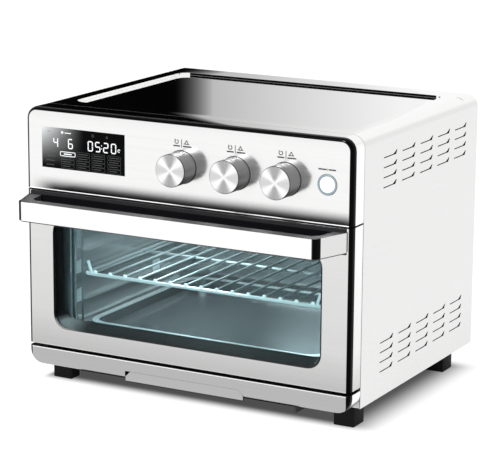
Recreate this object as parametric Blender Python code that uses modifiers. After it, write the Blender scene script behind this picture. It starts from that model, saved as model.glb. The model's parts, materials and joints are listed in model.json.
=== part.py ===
"""Countertop toaster oven, built as an assembly of separate pieces.

Lengths below are in millimetres and are turned into metres when a mesh is made.
Local axes: X runs to the oven's right as seen from the front, Y runs from the front
plane of the door (0) to the rear, Z runs up from the table.
"""

import math

import bmesh
import bpy
from mathutils import Matrix, Vector

# ---------------------------------------------------------------- driving dimensions
WIDTH = 410.0
HALF = WIDTH / 2
BODY_DEPTH = 333.0
CASE_BOTTOM = 25.0
CASE_TOP = 325.4
CASE_RADIUS = 14.0
SHEET = 1.0
GAP = 0.3
SEAM = 27.4
FILLET = 4.5

PANEL_BOTTOM = 231.8
DOOR_TOP = 230.0
DOOR_BOTTOM = 49.6
SILL_TOP = 46.0
SILL_BOTTOM = 24.8
SILL_RADIUS = 16.0

RECESS_HALF = 176.0
RECESS_FRONT = 52.0
RECESS_REAR = 302.0
RECESS_DEPTH = 3.0
RECESS_RADIUS = 15.0

LOUVRE_HALF = 14.8
LOUVRE_SLIT = 1.2
LOUVRE_HOOK = 4.0
LOUVRE_FIRST_Y = 90.5
LOUVRE_STEP_Y = 47.8
LOUVRE_COLUMNS = 5
LOUVRE_ROWS = 4
LOUVRE_STEP_Z = 11.0
LOUVRE_TOP_ROW_Z = 293.5
LOUVRE_LOW_ROW_Z = 87.0

WINDOW_HALF = 171.0
WINDOW_BOTTOM = 70.5
WINDOW_TOP = 200.0
WINDOW_RADIUS = 17.0

HANDLE_REACH = 47.2
HANDLE_HALF = 181.0
HANDLE_FOOT_HALF = 200.5
HANDLE_BOTTOM = 204.4
HANDLE_TOP = 225.9
HANDLE_BAR_REAR = -31.0
HANDLE_LINER_DROP = 1.4
TRIM_FRONT = -1.8
TRIM_HALF = 199.0
TRIM_BOTTOM = 201.5

DISPLAY_LEFT = -183.7
DISPLAY_RIGHT = -74.4
DISPLAY_BOTTOM = 257.5
DISPLAY_TOP = 304.0

KNOB_NAMES = ("temperature", "time", "function")
KNOB_X = (-2.0, 64.6, 125.9)
KNOB_Z = 275.4
KNOB_RADIUS = 18.2
KNOB_FRONT = -25.5
SHAFT_RADIUS = 3.0

BUTTON_X = 175.3
BUTTON_Z = 274.6
BUTTON_RADIUS = 8.9
BUTTON_RING_RADIUS = 11.4

CAVITY_HALF = 160.0
CAVITY_FRONT = 29.5
CAVITY_REAR = 300.0
CAVITY_FLOOR = 43.0
CAVITY_CEILING = 221.3
FRAME_FRONT = 28.0
FRAME_REAR = 29.2
MOUTH_BOTTOM = 52.0
MOUTH_TOP = 219.6

LEDGE_TOPS = (69.9, 98.3, 126.7, 155.1)
LEDGE_INNER = 151.0
RACK_Z = 129.0
RACK_FRONT = 40.0
RACK_REAR = 288.0
RACK_HALF = 153.5
RACK_WIRE = 2.0
RACK_BAR_WIRE = 1.4
RACK_BARS = 15
RACK_BAR_STEP = 20.0

TRAY_RIM_TOP = 71.0
TRAY_FLOOR = 60.3
TRAY_HALF = 155.0
TRAY_FRONT = 38.0
TRAY_REAR = 290.0

CRUMB_HALF = 140.0
CRUMB_FLOOR = 17.0
CRUMB_TOP = 24.4
CRUMB_REAR = 300.0
LIP_TOP = 33.0
LIP_FOOT = 22.0
LIP_HALF = 75.5
LIP_CORNER = 6.0

HEATER_RADIUS = 4.0
HEATER_HALF = 168.0
HEATER_Y = (95.0, 235.0)
HEATER_LOW_Z = 51.0
HEATER_HIGH_Z = 206.0

FAN_Y = 165.0
FAN_HOLE = 70.0

HINGE_Y = 5.0
HINGE_Z = 54.0
PIN_RADIUS = 2.0
EAR_HALF_HEIGHT = 2.75
EAR_X = 199.6
EAR_THICKNESS = 2.0

FOOT_HALF_X = (170.0, 195.0)
FOOT_FRONT_Y = (34.0, 60.0)
FOOT_REAR_Y = (275.0, 301.0)

GLAND_REACH = 8.0
FRONT_Y = (HANDLE_REACH - BODY_DEPTH - GLAND_REACH) / 2
MM = 0.001


# ---------------------------------------------------------------- scene and materials
def clear_scene():
    for item in list(bpy.data.objects):
        bpy.data.objects.remove(item)


def make_collection(name, hidden):
    collection = bpy.data.collections.new(name)
    collection.hide_render = hidden
    bpy.context.scene.collection.children.link(collection)
    return collection


clear_scene()
PARTS = make_collection("toaster_oven", False)
HELPERS = make_collection("helpers", True)


def material(name, color, metallic, roughness, alpha=1.0):
    made = bpy.data.materials.new(name)
    made.use_nodes = True
    shader = made.node_tree.nodes["Principled BSDF"]
    shader.inputs["Base Color"].default_value = (*color, 1.0)
    shader.inputs["Metallic"].default_value = metallic
    shader.inputs["Roughness"].default_value = roughness
    shader.inputs["Alpha"].default_value = alpha
    return made


FINISHES = {
    "brushed": ((0.80, 0.80, 0.79), 1.0, 0.30),
    "galvanised": ((0.62, 0.63, 0.64), 1.0, 0.45),
    "enamel": ((0.30, 0.31, 0.32), 0.6, 0.45),
    "wire": ((0.78, 0.78, 0.78), 1.0, 0.20),
    "heater": ((0.30, 0.27, 0.25), 0.8, 0.55),
    "rubber": ((0.02, 0.02, 0.02), 0.0, 0.75),
    "black_plastic": ((0.03, 0.03, 0.03), 0.0, 0.45),
    "gloss_black": ((0.01, 0.01, 0.01), 0.0, 0.08),
    "board": ((0.03, 0.20, 0.08), 0.0, 0.50),
    "copper": ((0.55, 0.40, 0.25), 0.9, 0.40),
    "white_plastic": ((0.80, 0.88, 0.92), 0.0, 0.30),
    "pane": ((0.60, 0.72, 0.74), 0.0, 0.05),
}


def finish(name, kind):
    color, metallic, roughness = FINISHES[kind]
    alpha = 0.35 if kind == "pane" else 1.0
    return material(name, color, metallic, roughness, alpha)


# ---------------------------------------------------------------- mesh helpers
TURNS = {
    "x": (0.0, math.pi / 2, 0.0),
    "y": (-math.pi / 2, 0.0, 0.0),
    "z": (0.0, 0.0, 0.0),
}
OUTLINE_TURNS = {
    "x": (math.pi / 2, 0.0, math.pi / 2),
    "y": (math.pi / 2, 0.0, 0.0),
    "z": (0.0, 0.0, 0.0),
}


def place(x, y, z):
    return Vector((x, y + FRONT_Y, z)) * MM


def link(made, kind, helper):
    """Put an object in the parts collection, or hide it among the helpers."""
    if helper:
        HELPERS.objects.link(made)
        made.hide_render = True
        made.display_type = "WIRE"
    else:
        PARTS.objects.link(made)
        made.data.materials.append(finish(made.name, kind))
    return made


def object_from(name, bm, kind, smooth=False, helper=False):
    """Turn a bmesh in millimetres into an object."""
    bmesh.ops.scale(bm, vec=(MM, MM, MM), verts=bm.verts)
    mesh = bpy.data.meshes.new(name)
    bm.to_mesh(mesh)
    bm.free()
    if smooth:
        mesh.shade_smooth()
        mesh.set_sharp_from_angle(angle=math.radians(40))
    return link(bpy.data.objects.new(name, mesh), kind, helper)


def add_box(bm, low, high):
    made = bmesh.ops.create_cube(bm, size=1.0)
    span = [top - bottom for bottom, top in zip(low, high)]
    middle = [(top + bottom) / 2 for bottom, top in zip(low, high)]
    bmesh.ops.scale(bm, vec=span, verts=made["verts"])
    bmesh.ops.translate(bm, vec=middle, verts=made["verts"])
    return made["verts"]


def add_rod(bm, start, end, radius, sides):
    run = Vector(end) - Vector(start)
    turn = run.to_track_quat("Z", "Y").to_matrix().to_4x4()
    middle = (Vector(start) + Vector(end)) / 2
    bmesh.ops.create_cone(
        bm,
        cap_ends=True,
        segments=sides,
        radius1=radius,
        radius2=radius,
        depth=run.length,
        matrix=Matrix.Translation(middle) @ turn,
    )


def soften(made, width, segments=2):
    edge = made.modifiers.new("edge", "BEVEL")
    edge.width = width * MM
    edge.segments = segments
    edge.limit_method = "ANGLE"
    return made


def box(name, low, high, kind="brushed", bevel=0.0, helper=False):
    bm = bmesh.new()
    span = [(top - bottom) / 2 for bottom, top in zip(low, high)]
    middle = [(top + bottom) / 2 for bottom, top in zip(low, high)]
    add_box(bm, [-half for half in span], span)
    made = object_from(name, bm, kind, helper=helper)
    made.location = place(*middle)
    if bevel:
        soften(made, bevel)
    return made


def boxes(name, spans):
    bm = bmesh.new()
    for low, high in spans:
        add_box(bm, low, high)
    made = object_from(name, bm, "enamel", helper=True)
    made.location = place(0, 0, 0)
    return made


def rods(name, runs, radius, sides=8):
    """Straight round bars between pairs of points, as one helper to cut or join with."""
    bm = bmesh.new()
    for start, end in runs:
        add_rod(bm, start, end, radius, sides)
    made = object_from(name, bm, "wire", helper=True)
    made.location = place(0, 0, 0)
    return made


def along(centre, axis, distance):
    x, y, z = centre
    if axis == "x":
        return (distance, y, z)
    if axis == "y":
        return (x, distance, z)
    return (x, y, distance)


def rod(name, centre, axis, radius, low, high, kind="brushed", sides=32, helper=False):
    """Straight cylinder on one axis."""
    bm = bmesh.new()
    bmesh.ops.create_cone(
        bm, cap_ends=True, segments=sides, radius1=radius, radius2=radius, depth=high - low
    )
    made = object_from(name, bm, kind, smooth=True, helper=helper)
    made.rotation_euler = TURNS[axis]
    made.location = place(*along(centre, axis, (low + high) / 2))
    return made


def turned(name, centre, axis, profile, kind="brushed", sides=32, ring=False, helper=False):
    """Turned piece: its outer side is (radius, position) pairs, and Screw spins it."""
    base = profile[0][1]
    points = [(radius, level - base) for radius, level in profile]
    if not ring:
        points = [(0.0, points[0][1])] + points + [(0.0, points[-1][1])]
    points.reverse()
    edges = [(index, index + 1) for index in range(len(points) - 1)]
    if ring:
        edges.append((len(points) - 1, 0))
    mesh = bpy.data.meshes.new(name)
    mesh.from_pydata([(radius * MM, 0.0, level * MM) for radius, level in points], edges, [])
    made = link(bpy.data.objects.new(name, mesh), kind, helper)
    spin = made.modifiers.new("spin", "SCREW")
    spin.steps = sides
    spin.render_steps = sides
    spin.use_merge_vertices = True
    spin.merge_threshold = 0.00001
    made.rotation_euler = TURNS[axis]
    made.location = place(*along(centre, axis, base))
    return made


def mesh_of(curve, kind, helper=False, smooth=False):
    """Swap a curve object for a closed mesh that Booleans and Bevel can work on."""
    bpy.context.view_layer.update()
    graph = bpy.context.evaluated_depsgraph_get()
    mesh = bpy.data.meshes.new_from_object(curve.evaluated_get(graph))
    name = curve.name
    where = curve.matrix_world.copy()
    bpy.data.objects.remove(curve)
    bm = bmesh.new()
    bm.from_mesh(mesh)
    bmesh.ops.remove_doubles(bm, verts=bm.verts, dist=0.000005)
    bmesh.ops.dissolve_limit(bm, angle_limit=0.002, verts=bm.verts, edges=bm.edges)
    bmesh.ops.recalc_face_normals(bm, faces=bm.faces)
    bm.to_mesh(mesh)
    bm.free()
    mesh.name = name
    mesh.materials.clear()
    if smooth:
        mesh.shade_smooth()
        mesh.set_sharp_from_angle(angle=math.radians(40))
    made = link(bpy.data.objects.new(name, mesh), kind, helper)
    made.matrix_world = where
    return made


def slabs(name, outlines, axis, low, high, kind="brushed", helper=False):
    """Flat outlines given one thickness: across y they hold (x, z), across z (x, y)."""
    curve = bpy.data.curves.new(name, "CURVE")
    curve.dimensions = "2D"
    curve.fill_mode = "BOTH"
    curve.extrude = (high - low) / 2 * MM
    for outline in outlines:
        spline = curve.splines.new("POLY")
        spline.points.add(len(outline) - 1)
        for point, (u, v) in zip(spline.points, outline):
            point.co = (u * MM, v * MM, 0.0, 1.0)
        spline.use_cyclic_u = True
    made = bpy.data.objects.new(name, curve)
    bpy.context.scene.collection.objects.link(made)
    made.rotation_euler = OUTLINE_TURNS[axis]
    made.location = place(*along((0, 0, 0), axis, (low + high) / 2))
    return mesh_of(made, kind, helper)


def slab(name, outline, axis, low, high, kind="brushed", helper=False):
    return slabs(name, [outline], axis, low, high, kind, helper)


def rounded(left, right, low, high, radii, steps=5):
    """Outline with corners in the order low-left, low-right, high-right, high-left."""
    corners = (
        (left, low, 1, 1, 180),
        (right, low, -1, 1, 270),
        (right, high, -1, -1, 0),
        (left, high, 1, -1, 90),
    )
    points = []
    for (u, v, toward_u, toward_v, start), radius in zip(corners, radii):
        if radius <= 0:
            points.append((u, v))
            continue
        centre_u = u + toward_u * radius
        centre_v = v + toward_v * radius
        for step in range(steps + 1):
            angle = math.radians(start + 90 * step / steps)
            across = centre_u + radius * math.cos(angle)
            points.append((across, centre_v + radius * math.sin(angle)))
    return points


def roll_front_edge(made, width, segments, sharp):
    """Bevel the rim of the face that looks forward, at local +Z, but for its sharp sides."""
    mesh = made.data
    hair = 0.00001
    front = max(vert.co.z for vert in mesh.vertices)
    levels = [vert.co.y for vert in mesh.vertices]
    kept = [{"low": min(levels), "high": max(levels)}[side] for side in sharp]
    weights = mesh.attributes.new("bevel_weight_edge", "FLOAT", "EDGE")
    for edge in mesh.edges:
        ends = [mesh.vertices[index].co for index in edge.vertices]
        rim = all(end.z > front - hair for end in ends)
        plain = any(all(abs(end.y - level) < hair for end in ends) for level in kept)
        weights.data[edge.index].value = float(rim and not plain)
    roll = made.modifiers.new("rolled_edge", "BEVEL")
    roll.width = width * MM
    roll.segments = segments
    roll.limit_method = "WEIGHT"
    roll.use_clamp_overlap = False


def pan(name, span, radii, depth, sharp):
    """Sheet pan open at the back, with a flat front at y 0 whose edge is rolled or sharp."""
    left, right, low, high = span
    made = slab(name, rounded(left, right, low, high, radii), "y", 0, depth)
    roll_front_edge(made, FILLET, 3, sharp)
    thin = [radius - SHEET for radius in radii]
    inside = rounded(left + SHEET, right - SHEET, low + SHEET, high - SHEET, thin)
    hollow = slab(name + "_hollow", inside, "y", SHEET, depth + 5, helper=True)
    roll_front_edge(hollow, FILLET - SHEET, 3, sharp)
    cut(made, hollow)
    return made


def wire_loop(name, path, radius, kind):
    """Closed round wire through a ring of points."""
    curve = bpy.data.curves.new(name, "CURVE")
    curve.dimensions = "3D"
    curve.bevel_depth = radius * MM
    curve.bevel_resolution = 2
    spline = curve.splines.new("POLY")
    spline.points.add(len(path) - 1)
    for point, spot in zip(spline.points, path):
        point.co = (*(Vector(spot) * MM), 1.0)
    spline.use_cyclic_u = True
    made = bpy.data.objects.new(name, curve)
    bpy.context.scene.collection.objects.link(made)
    made.location = place(0, 0, 0)
    return mesh_of(made, kind, smooth=True)


def combine(target, other, operation):
    change = target.modifiers.new(operation.lower(), "BOOLEAN")
    change.operation = operation
    change.object = other
    change.solver = "EXACT"
    return target


def cut(target, cutter):
    return combine(target, cutter, "DIFFERENCE")


def fuse(target, other):
    return combine(target, other, "UNION")


def hang_on(child, spot, name):
    """Parent a moving piece to an empty on its joint axis."""
    pivot = bpy.data.objects.get(name)
    if pivot is None:
        pivot = bpy.data.objects.new(name, None)
        pivot.location = place(*spot)
        PARTS.objects.link(pivot)
    child.parent = pivot
    child.matrix_parent_inverse = Matrix.Translation(-place(*spot))


# ---------------------------------------------------------------- outer body
def louvre(middle, level):
    """One slot as (y, z): a thin slit whose rear end turns up into a small hook."""
    half = LOUVRE_SLIT / 2
    rear = middle + LOUVRE_HALF
    return [
        (middle - LOUVRE_HALF, level - half),
        (rear, level - half),
        (rear + 3.0, level + LOUVRE_HOOK - half),
        (rear + 1.6, level + LOUVRE_HOOK - half),
        (rear - 5.5, level + half),
        (middle - LOUVRE_HALF, level + half),
    ]


def louvres():
    outlines = []
    for column in range(LOUVRE_COLUMNS):
        middle = LOUVRE_FIRST_Y + column * LOUVRE_STEP_Y
        for top in (LOUVRE_TOP_ROW_Z, LOUVRE_LOW_ROW_Z):
            for row in range(LOUVRE_ROWS):
                outlines.append(louvre(middle, top - row * LOUVRE_STEP_Z))
    return outlines


def outer_casing():
    start = SEAM + GAP
    radii = (0, 0, CASE_RADIUS, CASE_RADIUS)
    outside = rounded(-HALF, HALF, CASE_BOTTOM, CASE_TOP, radii)
    casing = slab("outer_casing", outside, "y", start, BODY_DEPTH)
    thin = CASE_RADIUS - SHEET
    inside = rounded(
        -HALF + SHEET, HALF - SHEET, CASE_BOTTOM - 5, CASE_TOP - SHEET, (0, 0, thin, thin)
    )
    hollow = slab("casing_hollow", inside, "y", start - 5, BODY_DEPTH + 5, helper=True)
    grown = RECESS_RADIUS + SHEET
    under = slab(
        "recess_underside",
        rounded(
            -RECESS_HALF - SHEET,
            RECESS_HALF + SHEET,
            RECESS_FRONT - SHEET,
            RECESS_REAR + SHEET,
            (grown,) * 4,
        ),
        "z",
        CASE_TOP - RECESS_DEPTH - SHEET,
        CASE_TOP + 5,
        helper=True,
    )
    cut(hollow, under)
    recess = slab(
        "top_recess",
        rounded(-RECESS_HALF, RECESS_HALF, RECESS_FRONT, RECESS_REAR, (RECESS_RADIUS,) * 4),
        "z",
        CASE_TOP - RECESS_DEPTH,
        CASE_TOP + 5,
        helper=True,
    )
    cut(casing, hollow)
    cut(casing, recess)
    cut(casing, slabs("louvre_slots", louvres(), "x", -HALF - 5, HALF + 5, helper=True))


def rear_panel():
    edge = HALF - SHEET - GAP
    round_top = CASE_RADIUS - SHEET - GAP
    outline = rounded(
        -edge, edge, CASE_BOTTOM + 1.6, CASE_TOP - SHEET - GAP, (0, 0, round_top, round_top)
    )
    panel = slab("rear_panel", outline, "y", 331.7, 332.7, "galvanised")
    spans = []
    for column in range(6):
        x = -125 + column * 50
        for row in range(5):
            z = 262 + row * 10
            spans.append(((x - 20, 329, z - 1.8), (x + 20, 335, z + 1.8)))
    cut(panel, boxes("rear_slots", spans))
    cut(panel, rod("gland_hole", (150, 0, 62), "y", 7.3, 329, 336, helper=True))


def base_plate():
    edge = HALF - SHEET - GAP
    spans = ((-edge, SEAM + 2.2, CASE_BOTTOM), (edge, 331.4, CASE_BOTTOM + 1.2))
    plate = box("base_plate", spans[0], spans[1], "galvanised")
    cut(plate, box("crumb_opening", (-130, 40, 20), (130, 290, 30), helper=True))
    spans = []
    for side in (-1, 1):
        for row in range(6):
            y = 90 + row * 30
            low = min(side * 150, side * 160)
            spans.append(((low, y - 10, 20), (low + 10, y + 10, 30)))
    cut(plate, boxes("base_vents", spans))


def feet():
    for end, span in (("front", FOOT_FRONT_Y), ("rear", FOOT_REAR_Y)):
        for side, sign in (("left", -1), ("right", 1)):
            low = min(sign * FOOT_HALF_X[0], sign * FOOT_HALF_X[1])
            name = "foot_" + end + "_" + side
            box(
                name,
                (low, span[0], 0),
                (low + 25, span[1], CASE_BOTTOM - GAP),
                "rubber",
                bevel=1.5,
            )


def front_frame():
    edge = HALF - SHEET - GAP
    round_top = CASE_RADIUS - SHEET - GAP
    outline = rounded(
        -edge, edge, CASE_BOTTOM + 1.6, CASE_TOP - SHEET - GAP, (0, 0, round_top, round_top)
    )
    frame = slab("front_frame", outline, "y", FRAME_FRONT, FRAME_REAR, "galvanised")
    half = CAVITY_HALF - 1
    mouth = slab(
        "mouth",
        rounded(-half, half, MOUTH_BOTTOM, MOUTH_TOP, (6, 6, 6, 6), 3),
        "y",
        20,
        40,
        helper=True,
    )
    cut(frame, mouth)
    cut(frame, box("wiring_window", (-120, 20, 250), (120, 40, 305), helper=True))


def cord_gland():
    centre = (150, 0, 62)
    profile = [
        (3.6, 328.2),
        (9.5, 328.2),
        (9.5, 331.4),
        (7.0, 331.4),
        (7.0, 333.0),
        (9.5, 333.0),
        (6.5, 341.0),
        (3.6, 341.0),
    ]
    turned("cord_gland", centre, "y", profile, "black_plastic", 24, ring=True)


# ---------------------------------------------------------------- control panel
def control_panel():
    span = (-HALF, HALF, PANEL_BOTTOM, CASE_TOP)
    radii = (0, 0, CASE_RADIUS, CASE_RADIUS)
    fascia = pan("control_panel", span, radii, SEAM, ("low",))
    window = (DISPLAY_LEFT, -5, DISPLAY_BOTTOM), (DISPLAY_RIGHT, 3, DISPLAY_TOP)
    cut(fascia, box("display_opening", *window, helper=True))
    runs = [((x, -5, KNOB_Z), (x, 3, KNOB_Z)) for x in KNOB_X]
    cut(fascia, rods("shaft_holes", runs, 4.0, 24))
    run = ((BUTTON_X, -5, BUTTON_Z), (BUTTON_X, 3, BUTTON_Z))
    cut(fascia, rods("button_hole", [run], BUTTON_RING_RADIUS + GAP, 48))


def display():
    low = (DISPLAY_LEFT + GAP, -0.3, DISPLAY_BOTTOM + GAP)
    high = (DISPLAY_RIGHT - GAP, 2.2, DISPLAY_TOP - GAP)
    box("display_glass", low, high, "gloss_black", bevel=0.25)
    low = (DISPLAY_LEFT + 4, 2.5, DISPLAY_BOTTOM + 3)
    high = (DISPLAY_RIGHT - 4, 12.7, DISPLAY_TOP - 3)
    box("display_module", low, high, "black_plastic", bevel=0.6)


def knob(name, x):
    """Spun metal knob in one piece with its shaft, turning in its encoder's socket."""
    centre = (x, 0, KNOB_Z)
    r = KNOB_RADIUS
    profile = [
        (r - 0.8, KNOB_FRONT),
        (r, KNOB_FRONT + 0.8),
        (r, -0.6),
        (SHAFT_RADIUS, -0.6),
        (SHAFT_RADIUS, 9.0),
    ]
    cap = turned("knob_" + name, centre, "y", profile, "brushed", 32)
    hang_on(cap, (x, KNOB_FRONT, KNOB_Z), "axis_knob_" + name)
    low = (x - 7, 1.4, KNOB_Z - 7)
    body = box("encoder_" + name, low, (x + 7, 12.7, KNOB_Z + 7), "black_plastic")
    loose = SHAFT_RADIUS + 0.08
    cut(body, rod("socket_" + name, centre, "y", loose, 0, 9.4, sides=32, helper=True))


def start_button():
    centre = (BUTTON_X, 0, BUTTON_Z)
    r = BUTTON_RING_RADIUS
    inner = BUTTON_RADIUS + GAP
    profile = [(inner, -0.9), (r - 0.4, -0.9), (r, -0.5), (r, 4.0), (inner, 4.0)]
    turned("button_ring", centre, "y", profile, "brushed", 32, ring=True)
    r = BUTTON_RADIUS
    profile = [(r - 0.6, -0.8), (r, -0.2), (r, 3.2), (3, 3.2), (3, 5.0)]
    cap = turned("start_button", centre, "y", profile, "white_plastic", 32)
    hang_on(cap, centre, "axis_start_button")
    low = (BUTTON_X - 6, 7.0, BUTTON_Z - 6)
    box("button_switch", low, (BUTTON_X + 6, 12.7, BUTTON_Z + 6), "black_plastic")


def boards():
    box("control_board", (-188, 13.0, 242), (192, 14.6, 316), "board")
    board = box("power_board", (100, 70, 262), (185, 210, 263.6), "board")
    spans = [
        ((108, 80, 263), (126, 100, 282)),
        ((132, 80, 263), (150, 100, 282)),
        ((110, 150, 263), (145, 185, 290)),
        ((155, 120, 263), (175, 140, 276)),
    ]
    fuse(board, boxes("board_parts", spans))


# ---------------------------------------------------------------- cavity
def heater_holes(name):
    runs = []
    for y in HEATER_Y:
        for z in (HEATER_LOW_Z, HEATER_HIGH_Z):
            runs.append(((-180, y, z), (180, y, z)))
    return rods(name, runs, 5.0, 16)


def cavity():
    holes = heater_holes("heater_holes")
    low = CAVITY_FLOOR + 1.3
    high = CAVITY_CEILING - GAP
    for side, sign in (("left", -1), ("right", 1)):
        inner = sign * CAVITY_HALF
        outer = sign * (CAVITY_HALF + SHEET)
        wall = box(
            "cavity_wall_" + side,
            (min(inner, outer), CAVITY_FRONT, low),
            (max(inner, outer), CAVITY_REAR, high),
            "enamel",
        )
        cut(wall, holes)
    edge = CAVITY_HALF + SHEET
    box("cavity_rear", (-edge, CAVITY_REAR + GAP, low), (edge, CAVITY_REAR + 1.3, high), "enamel")
    low = (-edge, CAVITY_FRONT, CAVITY_FLOOR)
    floor = box("cavity_floor", low, (edge, 301.3, CAVITY_FLOOR + 1), "enamel")
    cut(floor, box("floor_opening", (-135, 42, 35), (135, 288, 50), helper=True))
    top = box(
        "cavity_top",
        (-edge, CAVITY_FRONT, CAVITY_CEILING),
        (edge, 301.3, CAVITY_CEILING + 1),
        "enamel",
    )
    cut(top, rod("fan_hole", (0, FAN_Y, 0), "z", FAN_HOLE, 210, 230, helper=True))


def rack_guides():
    back = CAVITY_HALF - GAP
    for side, sign in (("left", -1), ("right", 1)):
        outline = [(sign * back, 58.0), (sign * (back - 1), 58.0)]
        for top in LEDGE_TOPS:
            outline.append((sign * (back - 1), top - 1.0))
            outline.append((sign * LEDGE_INNER, top - 1.0))
            outline.append((sign * LEDGE_INNER, top))
            outline.append((sign * (back - 1), top))
        outline.append((sign * (back - 1), 168.0))
        outline.append((sign * back, 168.0))
        slab("rack_guide_" + side, outline, "y", 44.0, 292.0, "enamel")


def wire_rack():
    corner = 6
    frame = rounded(-RACK_HALF, RACK_HALF, RACK_FRONT, RACK_REAR, (corner,) * 4, 3)
    path = [(x, y, RACK_Z) for x, y in frame]
    rack = wire_loop("wire_rack", path, RACK_WIRE, "wire")
    runs = []
    high = RACK_Z + 2.2
    for index in range(RACK_BARS):
        x = (index - (RACK_BARS - 1) / 2) * RACK_BAR_STEP
        runs.append(((x, RACK_FRONT - 0.8, high), (x, RACK_REAR + 0.8, high)))
    fuse(rack, rods("rack_bars", runs, RACK_BAR_WIRE))
    y = (RACK_FRONT + RACK_REAR) / 2 + 3
    runs = [((-RACK_HALF, y, RACK_Z), (RACK_HALF, y, RACK_Z))]
    fuse(rack, rods("rack_brace", runs, RACK_WIRE - 0.15))
    runs = []
    for sign in (-1, 1):
        foot = (sign * (RACK_HALF - 9), RACK_FRONT, RACK_Z)
        runs.append((foot, (foot[0] + sign * 5, RACK_FRONT, RACK_Z + 15)))
    fuse(rack, rods("rack_ears", runs, RACK_WIRE - 0.3))


def dish(name, span, floor, top, lean, rim, wall, corner, kind):
    """Open sheet dish: a box without its lid, thickened, with leaning walls and a rim."""
    left, right, low, high = span
    bm = bmesh.new()
    middle = (left + right) / 2, (low + high) / 2
    half = (right - left) / 2 - rim, (high - low) / 2 - rim
    add_box(bm, (-half[0], -half[1], 0), (half[0], half[1], top - floor))
    lid = max(bm.faces, key=lambda face: face.calc_center_median().z)
    rim_edges = list(lid.edges)
    bmesh.ops.delete(bm, geom=[lid], context="FACES_ONLY")
    for vert in bm.verts:
        if vert.co.z < 0.001:
            vert.co.x -= math.copysign(lean, vert.co.x)
            vert.co.y -= math.copysign(lean, vert.co.y)
    if rim:
        grown = bmesh.ops.extrude_edge_only(bm, edges=rim_edges)["geom"]
        for vert in grown:
            if isinstance(vert, bmesh.types.BMVert):
                vert.co.x += math.copysign(rim, vert.co.x)
                vert.co.y += math.copysign(rim, vert.co.y)
    uprights = []
    for edge in bm.edges:
        run = edge.verts[0].co - edge.verts[1].co
        sloped = abs(run.x) > 0.001 and abs(run.y) > 0.001
        if sloped or abs(run.z) > 0.001:
            uprights.append(edge)
    bmesh.ops.bevel(
        bm, geom=uprights, offset=corner, segments=4, profile=0.5, affect="EDGES", clamp_overlap=True
    )
    made = object_from(name, bm, kind)
    made.location = place(middle[0], middle[1], floor)
    skin = made.modifiers.new("sheet", "SOLIDIFY")
    skin.thickness = wall * MM
    skin.offset = -1.0
    skin.use_even_offset = True
    return made


def baking_tray():
    span = (-TRAY_HALF, TRAY_HALF, TRAY_FRONT, TRAY_REAR)
    dish("baking_tray", span, TRAY_FLOOR, TRAY_RIM_TOP, 2.0, 7.0, 0.8, 18.0, "enamel")


def heaters():
    for level, z in (("lower", HEATER_LOW_Z), ("upper", HEATER_HIGH_Z)):
        for where, y in zip(("front", "rear"), HEATER_Y):
            name = "heater_" + level + "_" + where
            ends = (-HEATER_HALF, HEATER_HALF)
            rod(name, (0, y, z), "x", HEATER_RADIUS, *ends, "heater", 16)


def probe():
    centre = (110, 0, 196)
    wall = CAVITY_REAR + 1.6
    profile = [(2.5, 268), (2.5, wall), (6, wall), (6, wall + 10)]
    turned("temperature_probe", centre, "y", profile, "galvanised", 16)
    rear = bpy.data.objects["cavity_rear"]
    cut(rear, rod("probe_hole", centre, "y", 3.0, 290, 310, helper=True))


# ---------------------------------------------------------------- convection fan
def vaned_wheel(name, disc, vane, count, hub, kind):
    """Wheel on the fan's axis: a thin disc, straight radial vanes and a bored hub."""
    centre = (0, FAN_Y, 0)
    wheel = rod(name, centre, "z", *disc, kind, 24)
    bm = bmesh.new()
    for index in range(count):
        verts = add_box(bm, (vane[0], -0.7, vane[2]), (vane[1], 0.7, vane[3]))
        turn = Matrix.Rotation(2 * math.pi * index / count, 4, "Z")
        bmesh.ops.transform(bm, matrix=turn, verts=verts)
    vanes = object_from(name + "_vanes", bm, kind, helper=True)
    vanes.location = place(*centre)
    fuse(wheel, vanes)
    fuse(wheel, rod(name + "_hub", centre, "z", *hub, sides=16, helper=True))
    loose = SHAFT_RADIUS + GAP
    cut(wheel, rod(name + "_bore", centre, "z", loose, 215, 315, sides=16, helper=True))
    hang_on(wheel, (0, FAN_Y, 240), "axis_fan")


def fan():
    centre = (0, FAN_Y, 0)
    guard = rod("fan_guard", centre, "z", 78, 220.0, 221.0, "enamel", 48)
    spans = []
    for index in range(9):
        x = -56 + index * 14
        reach = math.sqrt(68.0**2 - x**2)
        spans.append(((x - 4, FAN_Y - reach, 215), (x + 4, FAN_Y - 4, 225)))
        spans.append(((x - 4, FAN_Y + 4, 215), (x + 4, FAN_Y + reach, 225)))
    cut(guard, boxes("guard_slots", spans))
    profile = [
        (73, 222.6),
        (86, 222.6),
        (86, 223.6),
        (74, 223.6),
        (74, 248.0),
        (6.0, 248.0),
        (6.0, 247.0),
        (73, 247.0),
    ]
    turned("fan_housing", centre, "z", profile, "enamel", 32, ring=True)
    disc = (62, 238.5, 240.0)
    vaned_wheel("fan_blade", disc, (22, 60, 226, 239), 8, (7, 232.0, 243.0), "galvanised")
    shaft = rod("fan_shaft", centre, "z", SHAFT_RADIUS, 230, 303, "galvanised", 24)
    hang_on(shaft, (0, FAN_Y, 240), "axis_fan")


def motor():
    centre = (0, FAN_Y, 0)
    low = (-27, FAN_Y - 20, 248.3)
    body = box("fan_motor", low, (27, FAN_Y + 20, 284), "copper", bevel=2.0)
    tight = SHAFT_RADIUS + 0.08
    cut(body, rod("motor_bore", centre, "z", tight, 240, 295, sides=24, helper=True))
    disc = (34, 290, 291.5)
    vaned_wheel("cooling_fan", disc, (12, 32, 291, 300), 6, (6, 288, 300), "galvanised")


# ---------------------------------------------------------------- door
def on_door(piece):
    hang_on(piece, (0, HINGE_Y, HINGE_Z), "axis_door")


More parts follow.
